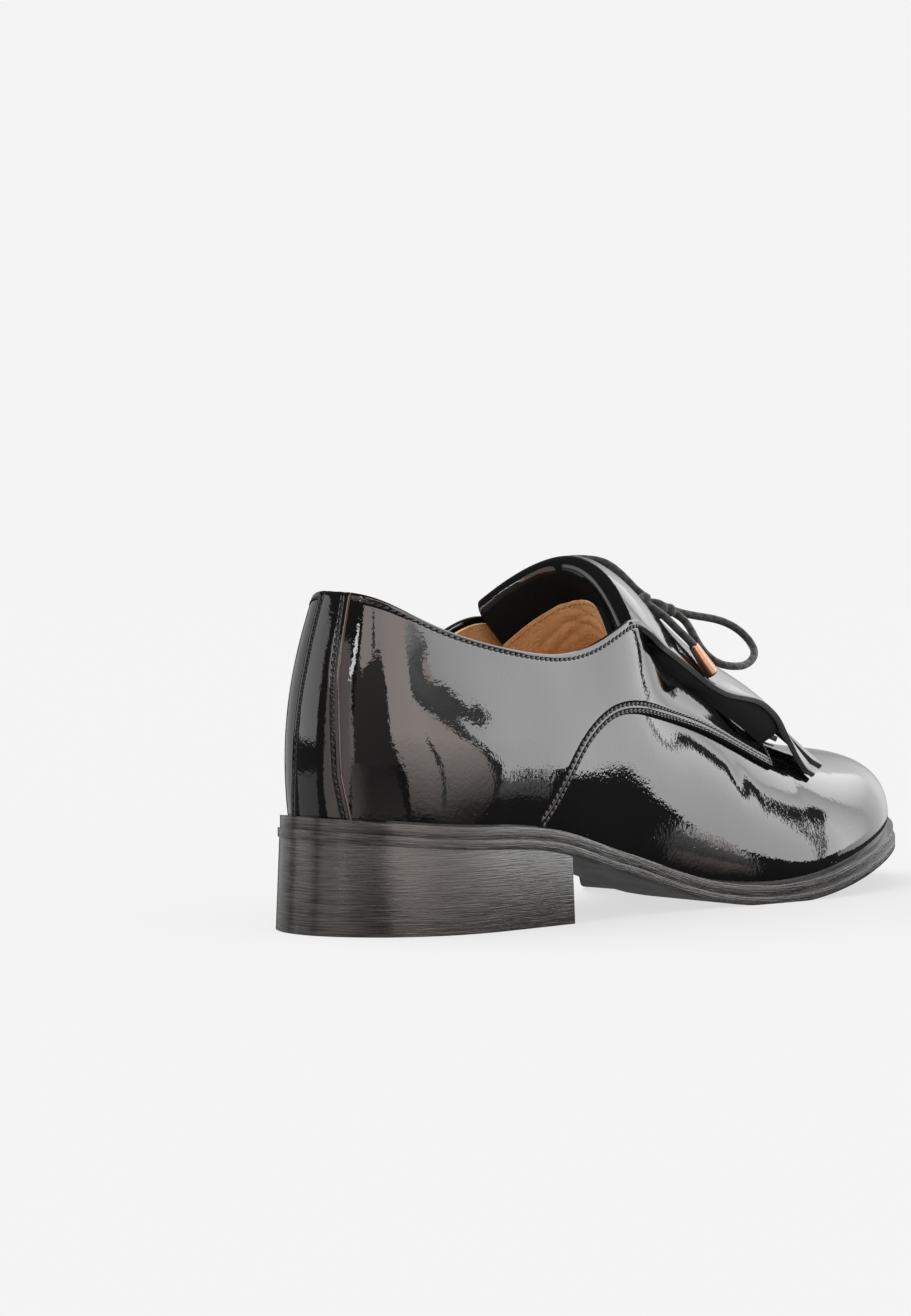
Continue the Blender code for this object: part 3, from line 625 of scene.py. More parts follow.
def end_dense(points, step):
    """A smooth route with extra points close to its ends, where the tube rounds off."""
    route = smooth_route(points, step)
    travelled = lengths_along(route)
    extra = END_ROUND * np.array(END_SHARES)
    at = np.unique(np.concatenate((travelled, extra, travelled[-1] - extra)))
    return np.stack([natural_spline(travelled, values)(at) for values in route.T], axis=1)


def add_tube(name, points, diameter, material, profile=None, slim_start=1.0, step=0.8):
    """Add a tube along a route in millimetres, with its UV map in turns and millimetres."""
    route = end_dense(points, step)
    places, outward = tube_points(route, diameter / 2.0, profile, slim_start)
    piece = add_grid(name, places, outward)
    uv = piece.data.uv_layers.active
    scaled = np.empty(2 * len(uv.data))
    uv.data.foreach_get("uv", scaled)
    scaled = scaled.reshape(-1, 2) * (1.0, lengths_along(route)[-1])
    uv.data.foreach_set("uv", scaled.ravel())
    piece.data.materials.append(material)
    return piece, route


# %% Loops and ends of the bow
LOOP_NEAR = (
    (144.0, -2.2, 82.6), (148.7, -3.0, 81.0), (155.9, -6.0, 79.4), (161.9, -9.0, 78.2), (167.1, -13.0, 74.8),
    (168.2, -16.0, 71.1), (166.4, -18.0, 68.6), (161.1, -19.0, 65.9), (155.7, -19.0, 65.4),
    (150.8, -17.0, 66.3), (147.6, -14.0, 69.7), (147.6, -10.5, 74.2), (148.0, -6.5, 78.6), (145.6, -2.4, 81.4),
)
LOOP_FAR = (
    (140.4, -0.8, 84.2), (138.1, 1.1, 86.0), (136.9, 4.2, 89.1), (136.4, 8.0, 92.3), (135.4, 11.5, 94.5),
    (131.9, 15.2, 95.5), (126.4, 19.2, 95.2), (122.0, 22.4, 93.6), (119.2, 24.9, 90.4), (119.6, 26.3, 86.7),
    (123.2, 26.4, 84.2), (129.4, 24.3, 83.5), (136.0, 19.0, 83.3), (140.5, 12.0, 83.2), (141.8, 4.2, 83.2),
    (142.2, -0.5, 83.2),
)
END_NEAR = (
    (136.6, 0.6, 84.4), (134.6, -2.6, 83.7), (134.0, -7.0, 81.5), (134.3, -11.0, 78.9), (134.9, -14.2, 76.0),
    (136.9, -17.8, 71.9), (138.9, -19.8, 67.6), (141.5, -21.1, 63.5),
)
END_FAR = (
    (142.8, -0.8, 82.8), (146.1, 2.8, 82.0), (150.0, 8.0, 79.4), (153.6, 13.0, 76.0), (157.0, 17.5, 72.5),
    (161.0, 21.5, 69.0), (164.6, 24.2, 65.8),
)
AGLET_NEAR = ((136.9, -17.8, 71.9), (138.9, -19.8, 67.6), (141.8, -21.3, 63.1))
AGLET_FAR = ((157.0, 17.5, 72.5), (161.0, 21.5, 69.0), (165.0, 24.5, 65.5))
AGLET_DIAMETER = 4.4
AGLET_SLIM = 0.66  # share of the diameter at the upper end
AGLET_OVAL = 0.05
AGLET_STEP = 0.5
FOLD_DEPTH = 0.28  # share of the radius that the pressed fold goes in
FOLD_AT = 1.15 * math.pi
FOLD_HALF = 0.32


def pressed(angle):
    """Shape of a lace tip: a sheet rolled round the lace, with a fold pressed in along one side."""
    fold = FOLD_DEPTH * np.exp(-((angle - FOLD_AT) / FOLD_HALF) ** 2)
    return 1.0 - fold + AGLET_OVAL * np.cos(2.0 * angle)


for name, points, tip_name, tip_route in (("lace_end_near", END_NEAR, "aglet_near", AGLET_NEAR),
                                          ("lace_end_far", END_FAR, "aglet_far", AGLET_FAR)):
    lace_end, route = add_tube("braid_" + name[5:], points, LACE_DIAMETER, cotton)
    finish_piece(lace_end, "lace_cotton", name)
    tip = add_tube("copper_tip_" + tip_name[6:], tip_route, AGLET_DIAMETER, copper, pressed, AGLET_SLIM,
                   AGLET_STEP)[0]
    finish_piece(tip, "copper_tip", tip_name)
for name, points in (("lace_loop_near", LOOP_NEAR), ("lace_loop_far", LOOP_FAR)):
    loop, route = add_tube("braid_" + name[5:], points, LACE_DIAMETER, cotton)
    finish_piece(loop, "lace_cotton", name)
    print(name, round(lengths_along(route)[-1], 1), "mm long")

# %% [markdown]
# ### The knot
# The knot is three turns of the same lace drawn tight over the crossing strands. Each turn is a short arch of
# tube; the loops and ends come out from under them.

# %% The knot
KNOT_SLOPE = math.radians(31.0)
KNOT_HIGH = 1.9
KNOT_SUNK = 0.6
KNOT_SWELL = 1.05
KNOT_SWEEP = (-35.0, 215.0)  # degrees
KNOT_POINTS = 11
KNOT_TURNS = (  # middle, slant in degrees, half width
    ((135.9, -1.0, 83.6), 24.0, 3.4), ((139.2, -2.8, 82.1), -14.0, 3.5), ((142.4, -4.6, 80.7), 18.0, 3.2),
)

down_slope = np.array((math.cos(KNOT_SLOPE), 0.0, -math.sin(KNOT_SLOPE)))
off_slope = np.array((math.sin(KNOT_SLOPE), 0.0, math.cos(KNOT_SLOPE)))
sweep = np.radians(np.linspace(*KNOT_SWEEP, KNOT_POINTS))
for index, (middle, slant, half) in enumerate(KNOT_TURNS):
    cross = np.array((0.0, 1.0, 0.0)) * math.cos(math.radians(slant)) + down_slope * math.sin(math.radians(slant))
    turn_route = (np.array(middle) + np.cos(sweep)[:, None] * cross * half
                  + (np.sin(sweep) * KNOT_HIGH - KNOT_SUNK)[:, None] * off_slope)
    turn = add_tube("knot_turn_" + str(index + 1), turn_route, LACE_DIAMETER * KNOT_SWELL, cotton)[0]
    finish_piece(turn, "lace_cotton", *(("lace_knot",) if index == 0 else ()))

# %% [markdown]
# ## The sole
# Outsole and midsole are two slices of leather that follow the tread line, and the heel is a block of pressed
# layers. Each starts as a grid laid across the foot like the rungs of a ladder, is extruded upwards in edit
# mode, and gets its edges rounded by a bevel.

# %% Layers of the sole
SOLE_RUNGS = 230
SOLE_COLUMNS = 13
OUTSOLE_ROUND = 0.45
MIDSOLE_ROUND = 0.5
MIDSOLE_INSET = 0.6
EXTRUDE_MM = 1.0  # first height of a layer, before its top is moved into place
LAYER_EDGE = math.radians(50.0)


def rung_ladder(rows, inset):
    """Rungs across the foot from the outer to the inner edge of the sole, seen from above."""
    edges = []
    for side in (OUTER, INNER):
        spine, aim = spine_and_aim(side, rows)
        edges.append(spine + aim * (sole_reach[side](rows) - inset)[:, None])
    edges[0][0] = edges[1][0] = (edges[0][0] + edges[1][0]) / 2.0
    return ruled(*edges, SOLE_COLUMNS)


def add_layer(name, rows, low_inset, high_inset, low, high, rounding):
    """Add a layer of sole leather between two height functions, with rounded edges."""
    bottom, top = (np.concatenate((flat, level(flat[..., 0], flat[..., 1])[..., None]), axis=2)
                   for flat, level in ((rung_ladder(rows, low_inset), low), (rung_ladder(rows, high_inset), high)))
    piece = add_grid(name, bottom, (0.0, 0.0, -1.0))
    lower_count = len(piece.data.vertices)
    edit(piece)
    bpy.ops.mesh.select_all(action="SELECT")
    bpy.ops.mesh.extrude_region_move(TRANSFORM_OT_translate={"value": (0.0, 0.0, EXTRUDE_MM * MM)})
    leave(piece)
    whole = corner_places(piece)
    upper = whole[lower_count:] - (0.0, 0.0, EXTRUDE_MM * MM)
    bottom_places = to_frame(bottom.reshape(-1, 3))
    order = [np.argmin(np.linalg.norm(bottom_places - spot, axis=1)) for spot in upper]
    whole[lower_count:] = to_frame(top.reshape(-1, 3)[order])
    piece.data.vertices.foreach_set("co", whole.ravel())
    edit(piece)
    bpy.ops.mesh.select_all(action="SELECT")
    bpy.ops.mesh.normals_make_consistent(inside=False)
    leave(piece)
    use_modifier(piece, "BEVEL", width=rounding * MM, segments=3, limit_method="ANGLE", angle_limit=LAYER_EDGE)
    piece.data.materials.append(sole_leather)
    return piece


def mark_height(piece, base):
    """Keep each corner's height in its layer as an attribute, in metres."""
    places = corner_places(piece) / MM + HOME
    marked = piece.data.attributes.new("layer_height", "FLOAT", "POINT")
    marked.data.foreach_set("value", ((places[:, 2] - base(places[:, 0], places[:, 1])) * MM).astype(np.float32))


def ground(x, y):
    """The outsole's underside, ground flat where it meets the floor."""
    return np.maximum(tread_height(x, y), 0.0)


def seat(x, y):
    """The line between outsole and midsole."""
    return tread_height(x, y) + OUTSOLE_THICK


def welt_top(x, y):
    """The top of the midsole, where the upper stands."""
    return tread_height(x, y) + OUTSOLE_THICK + MIDSOLE_THICK


def floor_level(x, y):
    """The floor."""
    return 0.0 * x


sole_rows = np.linspace(0.0, LAST_ROW, SOLE_RUNGS + 1)
outsole = add_layer("outsole_leather", sole_rows, 0.0, 0.0, ground, seat, OUTSOLE_ROUND)
mark_height(outsole, tread_height)
finish_piece(outsole, "sole_leather", "outsole")

midsole = add_layer("midsole_leather", sole_rows, MIDSOLE_INSET, MIDSOLE_INSET, seat, welt_top, MIDSOLE_ROUND)
mark_height(midsole, tread_height)
finish_piece(midsole, "sole_leather", "midsole")

# %% The heel
HEEL_BREAST_X = 69.0
HEEL_RUNGS = 90
HEEL_ROUND = 0.5
heel_end_row = np.interp(HEEL_BREAST_X, [section[0] for section in SECTIONS[2:5]], (2.0, 3.0, 4.0))
heel_rows = np.linspace(0.0, heel_end_row, HEEL_RUNGS)
heel = add_layer("heel_stack", heel_rows, HEEL_INSET - HEEL_FLARE, HEEL_INSET, floor_level, tread_height,
                 HEEL_ROUND)
mark_height(heel, floor_level)
finish_piece(heel, "sole_leather", "heel")

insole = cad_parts["insole"]
insole.data.materials.clear()
insole.data.materials.append(lining_leather)

# %% [markdown]
# ## The vamp
# The vamp is the front of the shoe, one piece of patent leather drawn over the toe. It runs back under the
# quarters on both sides. Its foot is tucked a little into the sole, so no gap shows. One shallow crease
# lies below the seam, where the foot bends.

# %% The vamp
SEAM = (  # row, rise of the quarter's lower edge
    (3.10, -0.02), (3.227, 0.047), (3.405, 0.162), (3.596, 0.298), (3.816, 0.433), (4.07, 0.527),
    (4.35, 0.578), (4.725, 0.588), (5.2, 0.582), (5.738, 0.595), (6.187, 0.620), (6.605, 0.638),
    (6.991, 0.635), (7.371, 0.608), (7.72, 0.563),
)
VAMP_BACK_ROW = 2.9
VAMP_THICK = 0.8
VAMP_LINES = (150, 64)  # along the shoe and up it
UNDERLAP = 0.14  # rise by which the vamp runs up under the quarter
CREST_ROWS = (6.2, 7.3)  # rows between which the vamp's top goes up to the crest
TUCK = 0.02
DENTS = (  # row, rise, row reach, rise reach, depth
    (6.97, 0.50, 0.13, 0.09, 0.32),
)
SEAM_WEIGHT = np.array((1.0, 4.0))  # how much rows and rises count along the seam
SEAM_STEP = 0.02
seam_route = smooth_route(np.array(SEAM) * SEAM_WEIGHT, SEAM_STEP) / SEAM_WEIGHT


def seam_rise(rows):
    """Rise of the quarter's lower edge at a row."""
    return np.interp(rows, seam_route[:, 0], seam_route[:, 1])


def vamp_top(rows):
    """Rise at which the vamp ends: under the quarter, or at the crest in front of it."""
    to_crest = np.clip((rows - CREST_ROWS[0]) / (CREST_ROWS[1] - CREST_ROWS[0]), 0.0, 1.0)
    return (seam_rise(rows) + UNDERLAP) * (1.0 - to_crest) + to_crest


half_rows = np.linspace(VAMP_BACK_ROW, LAST_ROW, VAMP_LINES[0])[:, None]
half_rises = -TUCK + (vamp_top(half_rows) + TUCK) * np.linspace(0.0, 1.0, VAMP_LINES[1])
dent = sum(-depth * np.exp(-((half_rows - row) / row_reach) ** 2 - ((half_rises - rise) / rise_reach) ** 2)
           for row, rise, row_reach, rise_reach, depth in DENTS)
vamp_points = np.concatenate((above_last(OUTER, half_rows, half_rises, dent),
                              last_point(INNER, half_rows, half_rises)[-2::-1]))
vamp_facing = np.concatenate((last_normal(OUTER, half_rows, half_rises),
                              last_normal(INNER, half_rows, half_rises)[-2::-1]))
add_panel("vamp_patent", vamp_points, vamp_facing, VAMP_THICK, patent, "patent_leather", "upper")

# %% [markdown]
# ## Lining
# A tan lining lies inside the whole upper. Its top edge stops just under the turned edge of the collar, so only
# a thin black line parts it from the outside.

# %% Lining
INSTEP = (  # row, how much higher and further out the outer side's edge stands than the last
    (3.4, 0.0, 0.0), (4.3, 0.7, 0.0), (4.6, 1.2, 0.0), (4.9, 2.0, 0.2), (5.4, 2.2, 1.4), (6.0, 2.0, 3.0),
    (6.8, 2.2, 4.4), (7.4, 2.6, 3.8), (8.0, 1.8, 1.5), (8.25, 0.8, 0.5),
)
INSTEP_FROM = 0.7  # rise above which the edge stands off


def ease(share):
    """Go smoothly from 0 to 1."""
    share = np.clip(share, 0.0, 1.0)
    return share * share * (3.0 - 2.0 * share)


def instep_rise(side, rows, rises):
    """Shifts near the top edge, where the laced quarter stands off the last."""
    table_rows, up, out = np.array(INSTEP).T
    near_edge = ease((rises - INSTEP_FROM) / (1.0 - INSTEP_FROM)) * (side == OUTER)
    shift = np.stack((0.0 * rows, side * np.interp(rows, table_rows, out), np.interp(rows, table_rows, up)), axis=-1)
    return shift * near_edge[..., None]


LINING_LIFT = -0.95
LINING_FOOT = 0.02
LINING_TOP = 0.966
LINING_THICK = 0.7
LINING_LINES = (170, 40)  # round the shoe and up it
ring_rows = np.linspace(0.0, LAST_ROW, LINING_LINES[0])[:, None]
lining_top = np.where(ring_rows < SLOT_END_ROW, LINING_TOP, 1.0)
ring_rises = lining_top * np.linspace(LINING_FOOT, 1.0, LINING_LINES[1])
lining_points = np.concatenate((above_last(OUTER, ring_rows, ring_rises, LINING_LIFT)
                                + instep_rise(OUTER, ring_rows, ring_rises),
                                above_last(INNER, ring_rows, ring_rises, LINING_LIFT)[-2:0:-1]))
lining_facing = np.concatenate((last_normal(OUTER, ring_rows, ring_rises),
                                last_normal(INNER, ring_rows, ring_rises)[-2:0:-1]))
lining_points, lining_facing = (np.concatenate((ring, ring[:1])) for ring in (lining_points, lining_facing))
add_panel("lining_calf", lining_points, lining_facing, LINING_THICK, lining_leather, "lining_leather")

# %% [markdown]
# ## Sock lining
# A thin tan sock covers the insole and reaches the lining all round, so no gap shows from above. A flat cut-out
# would not meet the walls, so its edges are points of the lining's own wall at the sock's height, and straight
# rungs join them across.

# %% Sock lining
SOCK_RISE = 3.5
SOCK_LIFT = -1.3
SOCK_THICK = 0.5
SOCK_ROWS = (0.12, 9.6)
SOCK_LINES = (120, 24)  # along the shoe and across it
WALL_TOP = 0.3  # rise up to which the sock's edge is looked for
WALL_STEPS = 90
sock_rows = np.linspace(*SOCK_ROWS, SOCK_LINES[0])[:, None]
sock_edges = []
for side in (OUTER, INNER):
    wall = above_last(side, sock_rows, np.linspace(0.0, WALL_TOP, WALL_STEPS), SOCK_LIFT)
    over = wall[..., 2] - welt_top(wall[..., 0], wall[..., 1])
    sock_edges.append(wall[np.arange(len(sock_rows)), np.argmax(over > SOCK_RISE, axis=1)])
sock_points = ruled(*sock_edges, SOCK_LINES[1])
sock_points[..., 2] = welt_top(sock_points[..., 0], sock_points[..., 1]) + SOCK_RISE
add_panel("sock_calf", sock_points, (0.0, 0.0, 1.0), SOCK_THICK, lining_leather, "lining_leather")

# %% [markdown]
# ## Quarters
# A quarter is the side panel, sewn over the vamp along a curved seam with two rows of thread, and turned over
# at the collar. Lines run from its lower edge to its upper one. Distances along these lines give the panel its
# rounded cut edge, the grooves that the thread pulls, and the roll at the collar.

# %% Quarters
SEAM_ROWS = (0.9, 2.6)
COLLAR_ROW = 2.0
PANEL_LIFT = 1.45
PANEL_THICK = 0.6
ROLL_RADIUS = 1.05
ROLL_STEPS = 11
PANEL_FLAP = (0.7, 1.6, 2.6)  # distances down inside the collar
SEAM_FADE = 3.0  # length over which the seam's grooves begin
INSTEP_FADE = 9.0  # distance from the seam over which the instep's shift begins
THREAD_END = -6  # line of the panel where the rows of thread end
THREAD_TOP = -4  # column where the row across the front ends
FOOT_STEPS = 34  # lines that stand on the sole
SEAM_PITCH = 1.4  # distance between the lines along the seam
TIP_LENGTH = 2.6  # length of the front edge, where the lines lie closer
LINE_POINTS = 160
SLANT_LEAST = 0.3
MIDDLE_ROOM = 0.5  # least distance between the steps from below and from above
GROOVE_DEPTH = 0.32
GROOVE_HALF = 0.42
LOW_STEPS = (0.0, 0.05, 0.15, 0.3, 0.5, 0.7, 0.9, 1.1, 1.35, 1.7, 2.05, 2.35, 2.6, 2.85, 3.2, 3.9, 5.2)
TOP_STEPS = (5.2, 4.2, 3.4, 3.0, 2.75, 2.5, 2.25, 2.0, 1.5, 1.0)
EDGE_HEIGHTS = (0.05, 0.65, 1.05, 1.3, PANEL_LIFT)  # at the first of the low steps
PANEL_INSIDE = 26
FACING = ((0.0, 1.0), (6.8, 1.0), (8.25, 0.80))  # row, rise
STATIONS = (  # row of the lower edge, row of the upper edge on the same line
    (3.10, 1.95), (3.32, 2.32), (3.55, 2.80), (3.80, 3.25), (4.07, 3.70), (4.45, 4.25), (5.0, 4.95),
    (6.0, 6.1), (7.0, 7.3), (7.72, 8.25),
)
BACK_LINE = (0.42, 0.28)  # rows of the panel's hidden back edge, below and above


def panel_edges():
    """Rows and rises of the lower and upper edge along the panel, and where the seam starts."""
    sole_part = np.linspace(0.0, 1.0, FOOT_STEPS)[:-1]
    low_row = np.concatenate((BACK_LINE[0] + (SEAM[0][0] - BACK_LINE[0]) * sole_part, seam_route[:, 0]))
    low_rise = np.concatenate((np.full(len(sole_part), -TUCK), seam_route[:, 1]))
    along = lengths_along(last_point(OUTER, low_row, low_rise))
    start = along[len(sole_part)]
    tip_steps = along[-1] - np.array(LOW_STEPS[1:10])
    seam_steps = np.arange(start, along[-1] - TIP_LENGTH, SEAM_PITCH)
    at = np.sort(np.concatenate((along[:len(sole_part)], seam_steps, tip_steps, along[-1:])))
    low_row = np.interp(at, along, low_row)
    low_rise = np.interp(at, along, low_rise)
    station = natural_spline(*np.array(STATIONS).T)
    top_row = np.where(at < start, BACK_LINE[1] + (STATIONS[0][1] - BACK_LINE[1]) * at / start, station(low_row))
    top_rise = np.interp(top_row, *np.array(FACING).T)
    return at, start, low_row, low_rise, top_row, top_rise


def edge_lift(distance):
    """Height of a cut edge, rounded over from its foot to the panel's face."""
    return np.interp(distance, LOW_STEPS[:len(EDGE_HEIGHTS)], EDGE_HEIGHTS)


def groove(distance, centre):
    """The dip that a row of thread pulls into the leather."""
    return -GROOVE_DEPTH * np.exp(-((distance - centre) / GROOVE_HALF) ** 2)


def roll_over(face, normals, depth, flap):
    """Points that turn a panel's upper edge over and down inside, and the ways they face."""
    outward = normals[:, -1:]
    upward = unit(face[:, -1:] - face[:, -3:-2])
    sweep = np.linspace(0.0, np.pi, ROLL_STEPS)[1:, None]
    rim = face[:, -1:] - outward * depth
    roll = rim + np.cos(sweep) * outward * depth + np.sin(sweep) * upward * ROLL_RADIUS
    inside = roll[:, -1:] - upward * np.array(flap)[:, None]
    ways = np.cos(sweep) * outward + np.sin(sweep) * upward
    return (np.concatenate((roll, inside), axis=1),
            np.concatenate((ways, np.repeat(-outward, len(flap), axis=1)), axis=1))


def build_quarter(side, name, node):
    """Build one quarter, and return the routes and normals of its rows of thread."""
    at, start, low_row, low_rise, top_row, top_rise = panel_edges()
    fine = np.linspace(0.0, 1.0, LINE_POINTS)
    line_rows = low_row[:, None] + (top_row - low_row)[:, None] * fine
    line_rises = low_rise[:, None] + (top_rise - low_rise)[:, None] * fine
    lines = last_point(side, line_rows, line_rises)
    edge_way = unit(np.gradient(lines[:, 0], axis=0))
    line_way = unit(lines[:, 4] - lines[:, 0])
    slant = np.linalg.norm(np.cross(edge_way, line_way), axis=1)
    slant = np.where(at < start, 1.0, np.clip(slant, SLANT_LEAST, 1.0))
    rows, rises, low_far, top_far = [], [], [], []
    for index in range(len(at)):
        run = lengths_along(lines[index])
        room = min(1.0, run[-1] / (LOW_STEPS[-1] / slant[index] + TOP_STEPS[0] + MIDDLE_ROOM))
        low = np.array(LOW_STEPS) / slant[index] * room
        high = run[-1] - np.array(TOP_STEPS) * room
        middle = np.linspace(low[-1], high[0], PANEL_INSIDE + 2)[1:-1]
        places = np.concatenate((low, middle, high))
        share = np.interp(places, run, fine)
        rows.append(low_row[index] + (top_row - low_row)[index] * share)
        rises.append(low_rise[index] + (top_rise - low_rise)[index] * share)
        low_far.append(places * slant[index])
        top_far.append(run[-1] - places)
    rows, rises, low_far, top_far = (np.array(values) for values in (rows, rises, low_far, top_far))
    front_far = (at[-1] - at)[:, None] + 0.0 * low_far
    on_seam = (at >= start)[:, None]
    lift = np.where(on_seam, np.minimum(edge_lift(low_far), edge_lift(front_far)), PANEL_LIFT)
    past_start = np.clip((at - start) / SEAM_FADE, 0.0, 1.0)[:, None]
    for centre in SEAM_ROWS:
        lift = lift + groove(low_far, centre) * past_start
    lift = lift + groove(front_far, SEAM_ROWS[0]) * (low_far > SEAM_ROWS[0]) * past_start
    lift = lift + groove(top_far, COLLAR_ROW)
    shift = instep_rise(side, rows, rises) * ease(low_far / INSTEP_FADE)[..., None]
    face = above_last(side, rows, rises, lift) + shift
    normals = last_normal(side, rows, rises)
    roll, roll_ways = roll_over(face, normals, ROLL_RADIUS, PANEL_FLAP)
    add_panel(name, np.concatenate((face, roll), axis=1), np.concatenate((normals, roll_ways), axis=1),
              PANEL_THICK, patent, "patent_leather", node)
    first = int(np.argmax(at >= start))
    low_columns = [LOW_STEPS.index(row) for row in SEAM_ROWS]
    collar_column = len(LOW_STEPS) + PANEL_INSIDE + TOP_STEPS.index(COLLAR_ROW)
    thread_rows = [(slice(first, THREAD_END), line) for line in low_columns]
    thread_rows += [(THREAD_END - 1, slice(low_columns[0], THREAD_TOP)), (slice(None, THREAD_END), collar_column)]
    return [(face[row], normals[row]) for row in thread_rows]


quarter_threads = {side: build_quarter(side, name, node)
                   for side, name, node in ((OUTER, "quarter_patent_outer", "quarter_lateral"),
                                            (INNER, "quarter_patent_inner", "quarter_medial"))}

# %% [markdown]
# ## Backstrip
# A strip of patent covers the seam at the back of the heel. It is cut, not folded, so its edges show a thin
# line of raw leather. At the top it turns over the collar with the quarters.

# %% Backstrip
STRIP_HALF = ((0.0, 0.57), (0.15, 0.46), (0.6, 0.37), (1.0, 0.38))  # rise, half width in rows
STRIP_LIFT = 2.05
STRIP_ROW = 1.9
STRIP_TOP = 0.976
STRIP_EDGE = 0.35
STRIP_THICK = 0.5
STRIP_FLAP = (0.8, 2.0)
STRIP_CUT = (PANEL_LIFT - 0.3, STRIP_LIFT - 0.35, STRIP_LIFT - 0.1)  # heights up the cut edge
STRIP_ROOM = 0.1
STRIP_LINES = 70
NEAREST_MIDDLE = 0.93  # share of the half width at which the last column stops

strip_rises = np.linspace(-TUCK, STRIP_TOP, STRIP_LINES)
strip_half = np.interp(strip_rises, *np.array(STRIP_HALF).T)
half_mm = np.linalg.norm(last_point(OUTER, strip_half, strip_rises) - last_point(OUTER, 0.0, strip_rises), axis=1)
from_edge = np.concatenate(((0.0, 0.0, 0.12, STRIP_EDGE), np.linspace(0.7, STRIP_ROW + 1.2, 9),
                            np.linspace(3.8, 6.0, 3)))
half_rows = (1.0 - np.minimum(from_edge[:, None] / half_mm[None, :], NEAREST_MIDDLE)) * strip_half
half_lift = STRIP_LIFT + groove(from_edge, STRIP_ROW)
half_lift[:3] = STRIP_CUT


def both_halves(function, half, *middle):
    """Read a last function across the strip, with the lifts of its half and of its middle."""
    return np.concatenate((function(OUTER, half_rows, strip_rises, *half),
                           function(OUTER, 0.0, strip_rises, *middle)[None],
                           function(INNER, half_rows, strip_rises, *half)[::-1]))


strip_points = both_halves(above_last, (half_lift[:, None],), STRIP_LIFT)
strip_normals = both_halves(last_normal, ())
strip_depth = ROLL_RADIUS + (STRIP_LIFT - PANEL_LIFT) / 2.0 + STRIP_ROOM
strip_roll, roll_ways = roll_over(strip_points, strip_normals, strip_depth, STRIP_FLAP)
strip_all = np.concatenate((strip_points, strip_roll), axis=1)
backstrip = add_grid("backstrip_patent", strip_all, np.concatenate((strip_normals, roll_ways), axis=1))
backstrip.data.materials.append(patent)
backstrip.data.materials.append(raw_edge)
strip_lines = strip_all.shape[1] - 1
for face in backstrip.data.polygons:
    cut_edge = face.index // strip_lines in (0, len(strip_all) - 2)
    face.material_index = 1 if cut_edge and face.index % strip_lines < len(strip_rises) - 1 else 0
use_modifier(backstrip, "SOLIDIFY", thickness=STRIP_THICK * MM, offset=-1.0)
finish_piece(backstrip, "patent_leather", "backstrip")
thread_row = (1.0 - STRIP_ROW / half_mm) * strip_half
strip_threads = [(above_last(side, thread_row, strip_rises, STRIP_LIFT - GROOVE_DEPTH)[2:-2],
                  last_normal(side, thread_row, strip_rises)[2:-2]) for side in (OUTER, INNER)]

# %% [markdown]
# ## Tongue and kiltie
# The tongue bridges the throat and is lined with the same tan calf. Above the lining's curved top edge the
# patent turns over, folds forward and hangs down over the laces as the kiltie, cut into a fringe. Both are
# sheets of arches across the foot, so each is a grid with a thickness. The back of the patent is dull, so the
# thickness modifier puts a second material there; inside the fold, shade is painted with a near-black dull material.

# %% Sheets across the throat
TONGUE = (  # x, y, z, half_width, drop, sweep, tilt
    (186.0, 5.6, 40.6, 14.0, 4.0, 0.0, 0.0), (170.0, 5.5, 45.6, 15.0, 4.5, 0.0, 0.0),
    (150.0, 5.3, 54.3, 17.0, 7.0, 0.0, 0.4), (134.0, 5.1, 63.5, 18.5, 9.5, 2.0, 0.8),
    (122.0, 5.0, 74.0, 19.5, 12.0, 6.0, 1.2), (114.9, 5.0, 83.3, 20.3, 12.8, 8.9, 1.5),
)
KILTIE = (  # x, y, z, half_width, drop, sweep, tilt
    (117.3, 5.0, 80.9, 20.3, 12.6, 8.2, 1.5), (113.9, 5.0, 84.9, 20.5, 13.0, 9.0, 1.5),
    (111.6, 5.0, 88.4, 21.3, 13.4, 9.5, 1.5), (110.2, 5.0, 91.4, 22.3, 13.5, 10.0, 1.5),
    (109.9, 5.0, 93.4, 23.0, 13.5, 10.0, 1.5), (111.0, 5.0, 95.0, 23.6, 13.6, 10.0, 1.5),
    (113.2, 5.0, 95.4, 24.3, 13.9, 10.0, 1.5), (116.5, 5.0, 94.5, 25.6, 14.6, 10.0, 1.5),
    (121.0, 5.0, 92.3, 27.2, 16.0, 10.0, 1.5),
    (130.0, 5.0, 86.3, 27.2, 15.5, 8.5, 1.5), (141.0, 5.0, 79.7, 24.8, 14.0, 6.0, 1.5),
    (156.0, 5.0, 71.5, 23.4, 12.5, 3.0, 1.5), (171.0, 5.0, 64.0, 22.5, 8.5, 0.0, 1.0),
    (184.0, 5.2, 56.0, 22.0, 8.5, 0.0, 0.5), (195.0, 5.4, 48.6, 22.5, 7.5, 0.0, 0.0),
    (204.0, 5.6, 44.4, 23.0, 6.0, 0.0, 0.0),
)


def sheet_grid(table, along, shares):
    """Arches across the throat at shares along the sheet and shares across it, from -1 outside to 1 inside."""
    table = np.asarray(table, dtype=float)
    knots = lengths_along(table[:, (0, 2)])
    along = along if along.ndim == 2 else along[:, None]
    columns = (natural_spline(knots, values)(knots[-1] * along) for values in table.T)
    x, y, z, half, drop, sweep, tilt = columns
    shares = np.atleast_2d(shares)
    return np.stack((x - sweep * shares ** 2, y + half * shares, z - drop * shares ** 2 + tilt * shares), axis=2)


def sheet_normals(points):
    """Directions out of a sheet, towards the side that is up on its flat part."""
    normals = unit(np.cross(np.gradient(points, axis=0), np.gradient(points, axis=1)))
    return normals if normals[..., 2].sum() > 0.0 else -normals


SHEET_EDGE = math.radians(60.0)


